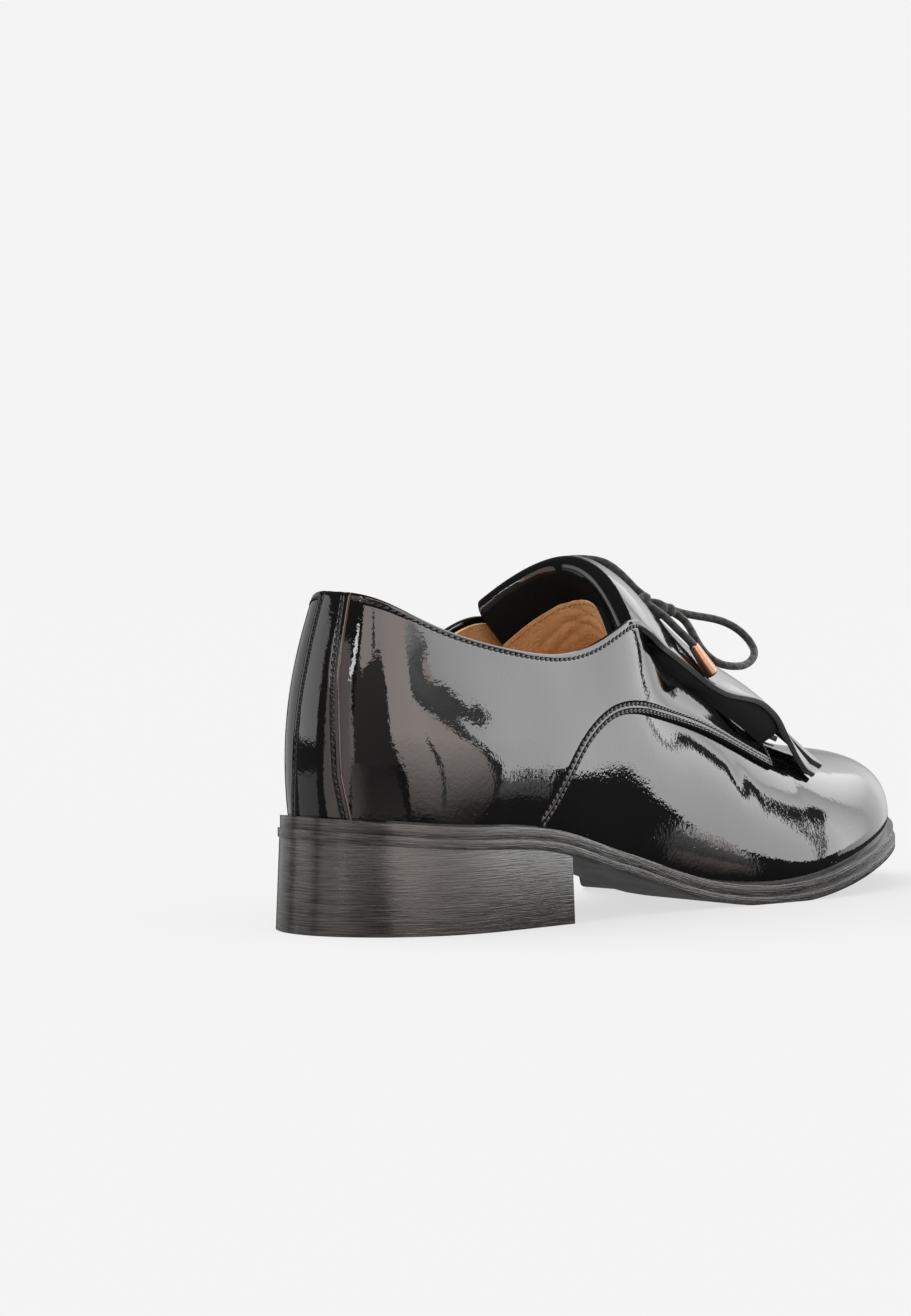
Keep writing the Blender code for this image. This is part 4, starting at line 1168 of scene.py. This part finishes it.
def thicken_sheet(piece, thickness, rounding):
    """Give a sheet its thickness, with the next material on its back and rim, and round its edges."""
    use_modifier(piece, "SOLIDIFY", thickness=thickness * MM, offset=0.0, material_offset=1, material_offset_rim=1)
    use_modifier(piece, "BEVEL", width=rounding * MM, segments=2, limit_method="ANGLE", angle_limit=SHEET_EDGE)


# %% Near wing
WING_SWING = 5.0
WING_REACH = 0.1


def with_near_wing(shares, weight):
    """Shares that reach further down on the outer side, and the forward swing of the points there."""
    near = np.minimum(shares, 0.0)[None, :]
    longer = shares[None, :] + near * WING_REACH * weight
    return longer, (WING_SWING * np.abs(near) ** 3 * weight)[..., None] * np.array((1.0, 0.0, 0.0))


# %% Tongue
CREASES = (  # share along, share across, slope across, half width along, depth
    (0.955, -0.25, 0.10, 0.012, 0.5), (0.93, 0.30, -0.06, 0.014, 0.6), (0.905, -0.05, 0.08, 0.012, 0.5),
    (0.88, 0.35, -0.10, 0.015, 0.6), (0.865, -0.45, 0.12, 0.013, 0.5),
)
TONGUE_TOP = ((-1.0, 1.09), (-0.52, 1.08), (-0.37, 1.055), (-0.21, 1.035), (-0.06, 1.02), (0.11, 1.01),
              (0.45, 1.0), (1.0, 0.995))  # share across, length of the tongue there
TONGUE_THICK = 1.9
TONGUE_ROUND = 0.4
TONGUE_LINES = (150, 56)  # along and across
TONGUE_WING = 2.0  # how much further its wing reaches than the kiltie's
TONGUE_WING_FROM = 0.6  # share along where the wing begins
TONGUE_WING_SPAN = 0.35
TONGUE_SWING = 0.5
CREASE_REACH = 0.5
tongue_across = np.linspace(-1.0, 1.0, TONGUE_LINES[1])
tongue_length = np.interp(tongue_across, *np.array(TONGUE_TOP).T)
tongue_along = np.linspace(0.0, 1.0, TONGUE_LINES[0])[:, None] * tongue_length
tongue_wing = TONGUE_WING * ease((tongue_along - TONGUE_WING_FROM) / TONGUE_WING_SPAN)
tongue_shares, tongue_swing = with_near_wing(tongue_across, tongue_wing)
tongue_points = sheet_grid(TONGUE, tongue_along, tongue_shares) + TONGUE_SWING * tongue_swing
under = -sheet_normals(tongue_points)
puff = np.zeros(tongue_points.shape[:2])
for share, place, slope, half, depth in CREASES:
    line = tongue_along - share - slope * (tongue_across[None, :] - place)
    reach = np.exp(-((tongue_across[None, :] - place) / CREASE_REACH) ** 2)
    puff -= depth * reach * np.exp(-(line / half) ** 2)
tongue = add_grid("tongue_calf", tongue_points + under * puff[..., None], under)
tongue.data.materials.append(lining_leather)
tongue.data.materials.append(patent)
thicken_sheet(tongue, TONGUE_THICK, TONGUE_ROUND)
finish_piece(tongue, "lining_leather", "tongue")

# %% Kiltie
STRIPS = 7
STRIP_GAP = 0.16
CELLS_PER_STRIP = 5
FRINGE_START = 0.735
KILTIE_THICK = 1.6
KILTIE_ROUND = 0.35
KILTIE_LINES = 170
KILTIE_CROWD = 1.25  # power that draws the lines together at the fold
KILTIE_WING = (0.18, 0.14)  # share along where the wing begins to fade, and over how much it does
FLAP_FROM = 0.3  # share along from which the flap is past the fold
KILTIE_UP = (0.5, 0.0, 0.85)  # way that the flap faces once it is over the fold
FOLD_ROWS = 9  # rows of faces that the patent reaches round the fold, to the dull inside
STRIP_LOOK = 4  # rows back that give a strip its direction
STRIP_LEAVE = 0.4  # shares of its reach that a strip runs straight on, and lies along the vamp
STRIP_LAND = 0.35
STRIP_TAPER = 0.2
STRIP_TURN = 0.4  # share of its length over which a strip turns flat to the vamp
TIP_FROM = 0.86  # share of its length where a strip's tip begins to narrow
TIP_NARROW = 0.75
STRIP_TIPS = (  # side, row, rise and lift of each strip's tip over the vamp
    (OUTER, 8.46, 0.524, 1.3), (OUTER, 8.80, 0.575, 1.7), (OUTER, 8.94, 0.66, 1.3), (OUTER, 8.95, 0.85, 1.6),
    (INNER, 8.95, 0.85, 1.6), (INNER, 8.8, 0.66, 1.5), (INNER, 8.5, 0.55, 1.4),
)

columns = []
for strip in range(STRIPS):
    pitch = 2.0 / STRIPS
    left = -1.0 + strip * pitch + (STRIP_GAP * pitch / 2.0 if strip else 0.0)
    right = -1.0 + (strip + 1) * pitch - (STRIP_GAP * pitch / 2.0 if strip < STRIPS - 1 else 0.0)
    columns.extend(np.linspace(left, right, CELLS_PER_STRIP + 1))
columns = np.array(columns)
kiltie_along = np.linspace(0.0, 1.0, KILTIE_LINES) ** KILTIE_CROWD
kiltie_wing = 1.0 - ease((kiltie_along - KILTIE_WING[0]) / KILTIE_WING[1])[:, None]
kiltie_shares, kiltie_swing = with_near_wing(columns, kiltie_wing)
kiltie_points = sheet_grid(KILTIE, kiltie_along, kiltie_shares) + kiltie_swing
fringe_share = np.clip((kiltie_along - FRINGE_START) / (1.0 - FRINGE_START), 0.0, 1.0)
first = int(np.argmax(fringe_share > 0.0)) - 1
share = fringe_share[first:][:, None]
for strip, (side, row, rise, lift) in enumerate(STRIP_TIPS):
    cells = slice(strip * (CELLS_PER_STRIP + 1), (strip + 1) * (CELLS_PER_STRIP + 1))
    root = kiltie_points[first, cells]
    middle = root.mean(axis=0)
    leave_way = unit(middle - kiltie_points[first - STRIP_LOOK, cells].mean(axis=0))
    tip = above_last(side, row, rise, lift)
    normal = last_normal(side, row, rise)
    reach = np.linalg.norm(tip - middle)
    land_way = unit((tip - middle) - normal * ((tip - middle) @ normal))
    centre = bezier(share, (middle, middle + leave_way * STRIP_LEAVE * reach,
                            tip - land_way * STRIP_LAND * reach + normal, tip))
    root_way = unit(root[-1] - root[0])
    tip_way = np.cross(normal, land_way)
    tip_way = tip_way if tip_way @ root_way > 0.0 else -tip_way
    across = unit((1.0 - share) * root_way + share * tip_way)
    width = np.linalg.norm(root[-1] - root[0]) * (1.0 - STRIP_TAPER * share)
    spread = across[:, None] * np.linspace(-0.5, 0.5, CELLS_PER_STRIP + 1)[None, :, None] * width[..., None]
    joined = ease(share / STRIP_TURN)[..., None]
    narrowed = (1.0 - TIP_NARROW * ease((share - TIP_FROM) / (1.0 - TIP_FROM)))[..., None]
    kiltie_points[first:, cells] = centre[:, None] + ((1.0 - joined) * (root - middle) + joined * spread) * narrowed
kiltie_facing = np.broadcast_to(KILTIE_UP, kiltie_points.shape).copy()
kiltie_facing[kiltie_along < FLAP_FROM] = 0.0
kiltie = add_grid("kiltie_patent", kiltie_points, kiltie_facing)
kiltie.data.materials.append(patent)
kiltie.data.materials.append(flesh)
kiltie.data.materials.append(dark_shade)
cells = len(columns) - 1
fold_row = int(np.argmax(kiltie_points[:, cells // 2, 2]))
cut_away = []
for face in kiltie.data.polygons:
    row = face.index // cells
    cell = face.index % cells
    # Rows before the fold face the foot and get painted shade: a near-black dull material in place of patent.
    face.material_index = 2 if row < fold_row - FOLD_ROWS else 0
    if row >= first and cell % (CELLS_PER_STRIP + 1) == CELLS_PER_STRIP:
        cut_away.append(face.index)
edit(kiltie)
bpy.ops.mesh.select_mode(type="FACE")
bpy.ops.mesh.select_all(action="DESELECT")
leave(kiltie)
for index in cut_away:
    kiltie.data.polygons[index].select = True
edit(kiltie)
bpy.ops.mesh.delete(type="FACE")
bpy.ops.mesh.select_mode(type="VERT")
leave(kiltie)
thicken_sheet(kiltie, KILTIE_THICK, KILTIE_ROUND)
finish_piece(kiltie, "patent_leather", "kiltie")

# %% [markdown]
# ### Painted shade under the kiltie
# A dull near-black sheet of painted shade hangs from the flap's edges and rests on the quarters, filling the
# shadowed gap under the flap. It is a ruled sheet, from a line just under the flap's edge to one on the quarter,
# with a slight bulge.

# %% Painted shade under the kiltie
SHADE_SHEET_FOOT = (
    (107.4, -22.0, 72.4), (114.8, -20.5, 69.6), (119.8, -19.5, 66.5), (124.8, -18.5, 64.2), (129.5, -17.8, 61.7),
    (136.1, -17.0, 59.6), (142.6, -16.4, 57.2), (151.8, -16.0, 52.9), (161.0, -15.6, 49.2), (169.0, -15.1, 45.4),
    (174.0, -14.8, 42.8),
)
SHADE_SHEET_SPAN = (0.28, 0.80)  # shares along the kiltie
SHADE_SHEET_SHARE = 0.96
SHADE_SHEET_DROP = 0.9
SHADE_SHEET_BULGE = 0.8
SHADE_SHEET_THICK = 0.9
SHADE_SHEET_STEP = 0.9
SHADE_SHEET_LINES = 9
THROAT_MIDDLE_Y = 5.0
MEDIAL_HIGHER = 3.0

shade_sheet_foot = smooth_route(SHADE_SHEET_FOOT, SHADE_SHEET_STEP)
shade_sheet_along = np.linspace(*SHADE_SHEET_SPAN, len(shade_sheet_foot))
# Each sheet is painted shade: near-black where the gap between the raised flap and the quarter is dark.
for side, name in ((OUTER, "kiltie_backing_outer"), (INNER, "kiltie_backing_inner")):
    head = sheet_grid(KILTIE, shade_sheet_along, (side * SHADE_SHEET_SHARE,))[:, 0] - (0.0, 0.0, SHADE_SHEET_DROP)
    foot = shade_sheet_foot.copy()
    if side == INNER:
        foot = foot * (1.0, -1.0, 1.0) + (0.0, 2.0 * THROAT_MIDDLE_Y, MEDIAL_HIGHER)
    down = np.linspace(0.0, 1.0, SHADE_SHEET_LINES)[:, None]
    bulge = np.sin(np.pi * down) * np.array((0.0, side * SHADE_SHEET_BULGE, 0.0))
    add_panel(name, ruled(head, foot, SHADE_SHEET_LINES) + bulge, (0.0, side * 1.0, 0.2), SHADE_SHEET_THICK, dark_shade,
              "patent_leather")

# %% [markdown]
# ## Lace bars
# Under the kiltie the lace crosses the throat twice between two pairs of eyelets. Little of it shows, so plain
# tubes along the same route as the solids are enough.

# %% Lace bars
EYELET_ROWS = (7.0, 6.2)
EYELET_RISE = 0.93
BAR_LIFT = 3.9
CORNER_ROOM = 1.2
BAR_CROWN = 6.0

eyelets = np.array(EYELET_ROWS)
outer_ends = above_last(OUTER, eyelets, EYELET_RISE, BAR_LIFT)
inner_ends = above_last(INNER, eyelets, EYELET_RISE, BAR_LIFT + CORNER_ROOM)
run = above_last(INNER, eyelets.mean(), EYELET_RISE, BAR_LIFT)
crowns = (outer_ends + inner_ends) / 2.0 + (0.0, 0.0, BAR_CROWN)
bar_route = (outer_ends[0], crowns[0], inner_ends[0], run, inner_ends[1], crowns[1], outer_ends[1])
bars = add_tube("braid_bars", bar_route, LACE_DIAMETER, cotton)[0]
finish_piece(bars, "lace_cotton", "lace_bars")

# %% [markdown]
# ## Stitches
# A stitch is a short length of thread that dips into the leather at both ends. One is shaped from a small
# sphere, and then copied along every row. The copies lie slightly aslant, as a lockstitch does, and are joined
# into one piece.

# %% Stitches
STITCH_PITCH = 1.95
STITCH_HALF = (1.0, 0.48, 0.4)
STITCH_SLANT = math.radians(22.0)
STITCH_RAISE = 0.12
STITCH_LOOK = 0.4  # distance ahead and behind that gives a stitch its direction


def stitch_places(route, normals, raise_by=STITCH_RAISE):
    """Matrices that set stitches along a row of thread."""
    travelled = lengths_along(route)
    count = max(1, int(travelled[-1] / STITCH_PITCH))
    at = (np.arange(count) + 0.5) * travelled[-1] / count
    spots, ahead, behind, ups = (
        np.stack([np.interp(at + step, travelled, values) for values in table.T], axis=1)
        for table, step in ((route, 0.0), (route, STITCH_LOOK), (route, -STITCH_LOOK), (normals, 0.0)))
    places = []
    for spot, up, way in zip(spots, unit(ups), ahead - behind):
        way = way - up * (way @ up)
        way /= np.linalg.norm(way)
        beside = np.cross(up, way)
        lean = way * math.cos(STITCH_SLANT) + beside * math.sin(STITCH_SLANT)
        matrix = Matrix.Identity(4)
        for index, axis in enumerate((lean, np.cross(up, lean), up)):
            for line in range(3):
                matrix[line][index] = axis[line] * MM
        matrix.translation = Vector(to_frame(spot + up * raise_by))
        places.append(matrix)
    return places


def sew(name, places, material, slot):
    """Shape one stitch, copy it to every place, and join the copies into one piece."""
    bpy.ops.object.select_all(action="DESELECT")
    bpy.ops.mesh.primitive_uv_sphere_add(segments=8, ring_count=5, radius=1.0, rotation=(0.0, math.pi / 2.0, 0.0))
    bpy.ops.object.transform_apply(location=False, rotation=True, scale=False)
    first = bpy.context.object
    first.data.transform(Matrix.Diagonal((*STITCH_HALF, 1.0)))
    for place in places[1:]:
        copy = first.copy()
        copy.data = first.data.copy()
        copy.matrix_world = place
        bpy.context.collection.objects.link(copy)
        copy.select_set(True)
    first.matrix_world = places[0]
    bpy.context.view_layer.objects.active = first
    bpy.ops.object.join()
    bpy.ops.object.transform_apply(location=True, rotation=True, scale=True)
    first.name = name
    first.data.name = name
    first.data.materials.append(material)
    finish_piece(first, slot, smooth_angle=80.0)


for name, threads in (("stitches_outer", quarter_threads[OUTER]), ("stitches_inner", quarter_threads[INNER]),
                      ("stitches_backstrip", strip_threads)):
    places = [place for route, normals in threads for place in stitch_places(route, normals)]
    sew(name, places, thread, "patent_leather")

# %% Stitches on the tongue
FROM_TOP = 3  # rows of the tongue's grid
arch = len(tongue_along) - FROM_TOP
tongue_row = tongue_points[arch] + under[arch] * TONGUE_THICK / 2.0
sew("stitches_tongue", stitch_places(tongue_row, under[arch], -STITCH_RAISE), tan_thread, "lining_leather")

# %% [markdown]
# ## Floor and light
# The floor glows a little, so that it stays as pale as the backdrop out to the horizon. A wide, soft sun lights
# the dull pieces; reflections don't see it.

# %% Floor
FLOOR_SIZE = 60.0
FLOOR_GLOW = 0.735
PALE = "#F4F4F4"
bpy.ops.object.select_all(action="DESELECT")
bpy.ops.mesh.primitive_plane_add(size=FLOOR_SIZE, location=(0.0, 0.0, 0.0))
floor = bpy.context.object
floor.name = "floor"
floor_paint, tree, shader = new_material("pale_floor", "#696969", Roughness=1.0, Specular_IOR_Level=0.0)
shader.inputs["Emission Color"].default_value = linear(PALE)
shader.inputs["Emission Strength"].default_value = FLOOR_GLOW
floor.data.materials.append(floor_paint)
floor.visible_glossy = False

# %% Sun
SUN_TURN = (-24.0, -18.0, 0.0)  # degrees
SUN_STRENGTH = 3.0
SUN_SPREAD = 70.0  # degrees
bpy.ops.object.light_add(type="SUN", rotation=[math.radians(turn) for turn in SUN_TURN])
sun = bpy.context.object
sun.name = "soft_sun"
sun.data.energy = SUN_STRENGTH
sun.data.angle = math.radians(SUN_SPREAD)
sun.visible_glossy = False

# %% [markdown]
# ## Light cards
# Patent leather shows whatever stands round it, so the light comes from paper cards that only reflections see.
# A card is a polygon; each corner has its azimuth and elevation from the shoe's middle, and its own glow unless
# the whole card has one. Dark cards, which photographers call flags, stand in front of the bright ones.

# %% Light cards
SHOE_MIDDLE = Vector((0.0, 0.0, 0.045))
WARM = "#FFF1EB"
WHITE = "#FFFFFF"
papers = {}


def add_card(name, colour, far, corners, even_glow=None):
    """A glowing polygon; each corner is azimuth and elevation in degrees, and the glow there if it isn't even."""
    if colour not in papers:
        paper, tree, shader = new_material("lit_paper_" + colour.strip("#"), "#000000", Roughness=1.0,
                                           Specular_IOR_Level=0.0)
        glow = add_node(tree, "ShaderNodeAttribute", attribute_name="glow")
        shader.inputs["Emission Color"].default_value = linear(colour)
        tree.links.new(glow.outputs["Fac"], shader.inputs["Emission Strength"])
        papers[colour] = paper
    bpy.ops.object.select_all(action="DESELECT")
    bpy.ops.mesh.primitive_circle_add(vertices=len(corners), fill_type="NGON")
    card = bpy.context.object
    card.name = "card_" + name
    glow = card.data.attributes.new("glow", "FLOAT", "POINT")
    for vertex, (azimuth, elevation, *light) in zip(card.data.vertices, corners):
        turn, rise = math.radians(azimuth), math.tan(math.radians(elevation))
        vertex.co = SHOE_MIDDLE + Vector((math.cos(turn), math.sin(turn), rise)) * far
        glow.data[vertex.index].value = light[0] if light else even_glow
    card.data.materials.append(papers[colour])
    card.visible_camera = False
    card.visible_diffuse = False
    card.visible_shadow = False


FAR = 8.0
FLAG_FAR = 0.8 * FAR
add_card("heel_outer_back", WARM, FAR, (
    (-166, 38, 3.8), (-165, 22, 3.8), (-163, 20.5, 3.8), (-159, 17, 3.8), (-147, 12, 3.9), (-141, 7.5, 3.9),
    (-131, 3, 3.9), (-129, 38, 3.8)))
add_card("heel_outer", WARM, FAR, ((-131, 38, 4.0), (-131, 3, 4.1), (-95, 5, 4.5), (-95, 38, 4.0)))
add_card("heel_outer_mid", WARM, FAR, ((-131, 3, 4.1), (-122, -1.5, 3.2), (-95, -2, 3.0), (-95, 5, 4.5)))
add_card("heel_outer_low", WARM, FAR, (
    (-122, -1.5, 3.2), (-113, -6, 2.0), (-110.5, -11, 1.1), (-110, -14.5, 0.4), (-95, -14.5, 0.35),
    (-95, -2, 3.0)))
add_card("waist_outer", WARM, FAR, ((-95, 38, 4.0), (-95, 5, 4.5), (-49, 5, 3.4), (-56, 38, 3.4)))
add_card("waist_outer_mid", WARM, FAR, ((-95, 5, 4.5), (-95, -2, 3.0), (-48.5, -2, 1.5), (-49, 5, 2.8)))
add_card("waist_outer_low", WARM, FAR, (
    (-95, -2, 3.0), (-95, -14.5, 0.35), (-60, -14.5, 0.1), (-49, -8, 0.35), (-48.5, -2, 1.5)))
add_card("toe_side_far", WHITE, 0.96 * FAR, (
    (-82, 27, 3.6), (-82, 19, 4.4), (-62, 8, 4.9), (-54, 4.5, 4.9), (-50, 3.6, 4.9), (-46, 3, 4.9),
    (-42, 2, 4.9), (-36, 0, 4.9), (-36, 45, 4.9), (-70, 45, 4.5)))
add_card("band", WARM, 1.05 * FAR, ((-168, 24, 0.45), (-168, -4, 0.3), (-118, -4, 0.25), (-126, 24, 0.5)))
add_card("band_low", WARM, FAR, (
    (-168, -3, 0.9), (-168, -15, 1.1), (-150, -15, 0.35), (-112, -15, 0.4), (-124, -5, 0.2), (-150, -4, 0.2)))
add_card("toe_front", WHITE, FAR, (
    (-42, 18, 2.6), (-42, 3, 2.0), (-34, 1, 1.9), (-20, -1.5, 1.6), (-10, -2.5, 1.5), (12, -3, 1.3),
    (12, 18, 2.2)))
add_card("toe_front_high", WHITE, FAR, ((-42, 45, 4.6), (-42, 27, 4.2), (12, 27, 4.0), (12, 45, 4.6)))
add_card("toe_front_mid", WHITE, FAR, ((-42, 27, 4.2), (-42, 18, 2.6), (12, 18, 2.2), (12, 27, 4.0)))
add_card("toe_inner", WHITE, FAR, (
    (12, 45, 3.2), (12, 18, 2.2), (12, -3, 1.3), (25, -3.5, 0.7), (40, -3.5, 0.35), (40, 45, 0.5)))
add_card("heel_back", WARM, FAR, (
    (-203, 24, 1.5), (-203, -15, 1.2), (-172, -15, 1.2), (-168, -6, 1.6), (-164, -2, 2.0), (-165, 0, 2.2),
    (-167, 5, 2.4), (-171, 10, 2.4), (-172, 16, 2.2), (-180, 24, 1.5)))
add_card("glint", WHITE, 0.98 * FAR, ((-173.5, 28), (-177.5, 16.5), (-173, 17), (-169.5, 28)), even_glow=11.0)
add_card("heel_inner", WHITE, FAR, ((-252, 24, 1.5), (-250, 1, 1.9), (-216, 1, 1.9), (-217, 24, 1.5)))
add_card("heel_inner_low", WHITE, FAR, ((-252, -4), (-252, -15), (-216, -15), (-216, -4)), even_glow=0.6)
add_card("heel_inner_side", WHITE, FAR, ((-300, 20), (-300, -8), (-264, -8), (-264, 20)), even_glow=0.6)

# %% [markdown]
# The cards beside the toe stand close to the shoe, so the vamp and the quarter see them from different sides. A
# dark pole stands in front of them and wanders across the vamp as a narrow dark line. A flag under them darkens
# the foot of the vamp, and further flags draw the dark patches on the quarter.

# %% Close card and flags
TOE_CARD_FAR = 0.34
add_card("toe_side", WHITE, TOE_CARD_FAR, (
    (-26, 55, 4.9), (-26, -1, 4.6), (-38, -2, 4.4), (-43, -3, 4.5), (-47, -3, 4.6), (-50, -2.2, 4.6),
    (-54, -2.4, 4.6), (-54, 55, 4.9)))
add_card("toe_side_edge", WHITE, TOE_CARD_FAR, ((-26, 55, 4.9), (-26, -1, 4.4), (-12, -1, 1.8), (-12, 55, 2.4)))
add_card("toe_side_waist", WHITE, TOE_CARD_FAR, (
    (-66, 6, 4.6), (-63.5, 3.9, 4.6), (-60.4, 0.5, 4.6), (-58.9, -2.8, 4.4), (-58.7, -4.7, 4.0),
    (-56.2, -5.1, 4.0), (-55.7, -2.2, 4.4), (-54.4, -1.8, 4.4), (-54, -5.3, 4.0), (-52.8, -4.9, 4.0),
    (-53, 6, 4.6)))
add_card("toe_side_low", WHITE, TOE_CARD_FAR, (
    (-59.4, -5, 1.1), (-61.5, -10, 0.3), (-53, -10, 0.3), (-53, -5.2, 0.9)))
add_card("flag_vamp", WHITE, 1.02 * TOE_CARD_FAR, (
    (-30, -1, 0.1), (-38, -1.8, 0.1), (-43, -2.8, 0.1), (-47, -2.8, 0.1), (-50, -2, 0.1), (-54, -2.2, 0.1),
    (-54, -22, 0.05), (-30, -22, 0.05)))
POLE_FAR = 0.2
add_card("pole", WHITE, POLE_FAR, (
    (-40.4, -10), (-39.2, -10), (-36.6, 0), (-34.8, 4.4), (-32.8, 8.6), (-29.8, 11), (-26, 12.8), (-23.2, 14.2),
    (-23.2, 16), (-24, 18), (-24, 35), (-28.5, 35), (-29, 18), (-29.8, 14), (-30.8, 12.5), (-31.9, 11),
    (-34.1, 8.6), (-36.2, 4.4), (-37.9, 0)), even_glow=0.15)
add_card("flag_patch", WHITE, FLAG_FAR, (
    (-101, 15, 0.8), (-91, 12, 0.6), (-80, 10.8, 0.6), (-76, 10, 0.6), (-72, 9.9, 0.6), (-65, 10.9, 0.6),
    (-58, 11.2, 0.5), (-52, 10.2, 0.5), (-48.5, 11, 0.5), (-48, 12.5, 0.5), (-50, 14.3, 0.5), (-55, 13.6, 0.5),
    (-60, 16.5, 0.5), (-67, 18, 0.6), (-79, 18.5, 0.7), (-82, 20, 0.8), (-80, 21.5, 0.9), (-75, 22.5, 1.0),
    (-69, 23.5, 1.2), (-71, 25.5, 1.4), (-76, 25.5, 1.6), (-80, 27, 2.2), (-88, 30, 3.6), (-97, 28, 3.4),
    (-99, 21, 1.4)))
add_card("flag_tail", WHITE, FLAG_FAR, (
    (-72, 10, 0.5), (-65.1, 7.5, 0.5), (-57.3, 6.1, 0.4), (-52.9, 3.8, 0.3), (-49.8, 1.1, 0.2),
    (-49.2, -2.1, 0.2), (-49, -4.8, 0.2), (-49.5, -7.6, 0.2), (-46.9, -7.6, 0.2), (-45.8, -4.7, 0.2),
    (-45.2, -1.8, 0.2), (-46.4, 0.8, 0.2), (-48.9, 3.6, 0.3), (-52.9, 5.8, 0.4), (-58.5, 8.3, 0.5),
    (-63.5, 10.8, 0.5)))
add_card("flag_squiggle", WHITE, FLAG_FAR, (
    (-94, 4.5, 0.4), (-88, 0, 0.4), (-84.5, -4, 0.4), (-84, -11, 0.5), (-81, -11, 0.5), (-81.5, -4, 0.4),
    (-85, 1, 0.4), (-91, 5, 0.4)))
add_card("flag_streak", WHITE, FLAG_FAR, (
    (-149, 24), (-145.5, 24.5), (-145.5, 32), (-149.5, 32)), even_glow=0.6)

# %% World
REFLECTED_GREY = "#545454"
FILL_LIGHT = "#F2F2F2"
world = bpy.data.worlds.new("studio")
world.use_nodes = True
bpy.context.scene.world = world
tree = world.node_tree
sky = tree.nodes["Background"]
ray = add_node(tree, "ShaderNodeLightPath")
fill = mix_tones(tree, ray.outputs["Is Diffuse Ray"], REFLECTED_GREY, FILL_LIGHT)
seen = add_node(tree, "ShaderNodeMix", ((7, linear(PALE)),),
                ((0, ray.outputs["Is Camera Ray"]), (6, fill)), data_type="RGBA")
tree.links.new(seen.outputs[2], sky.inputs["Color"])
bpy.context.scene.view_settings.view_transform = "Standard"
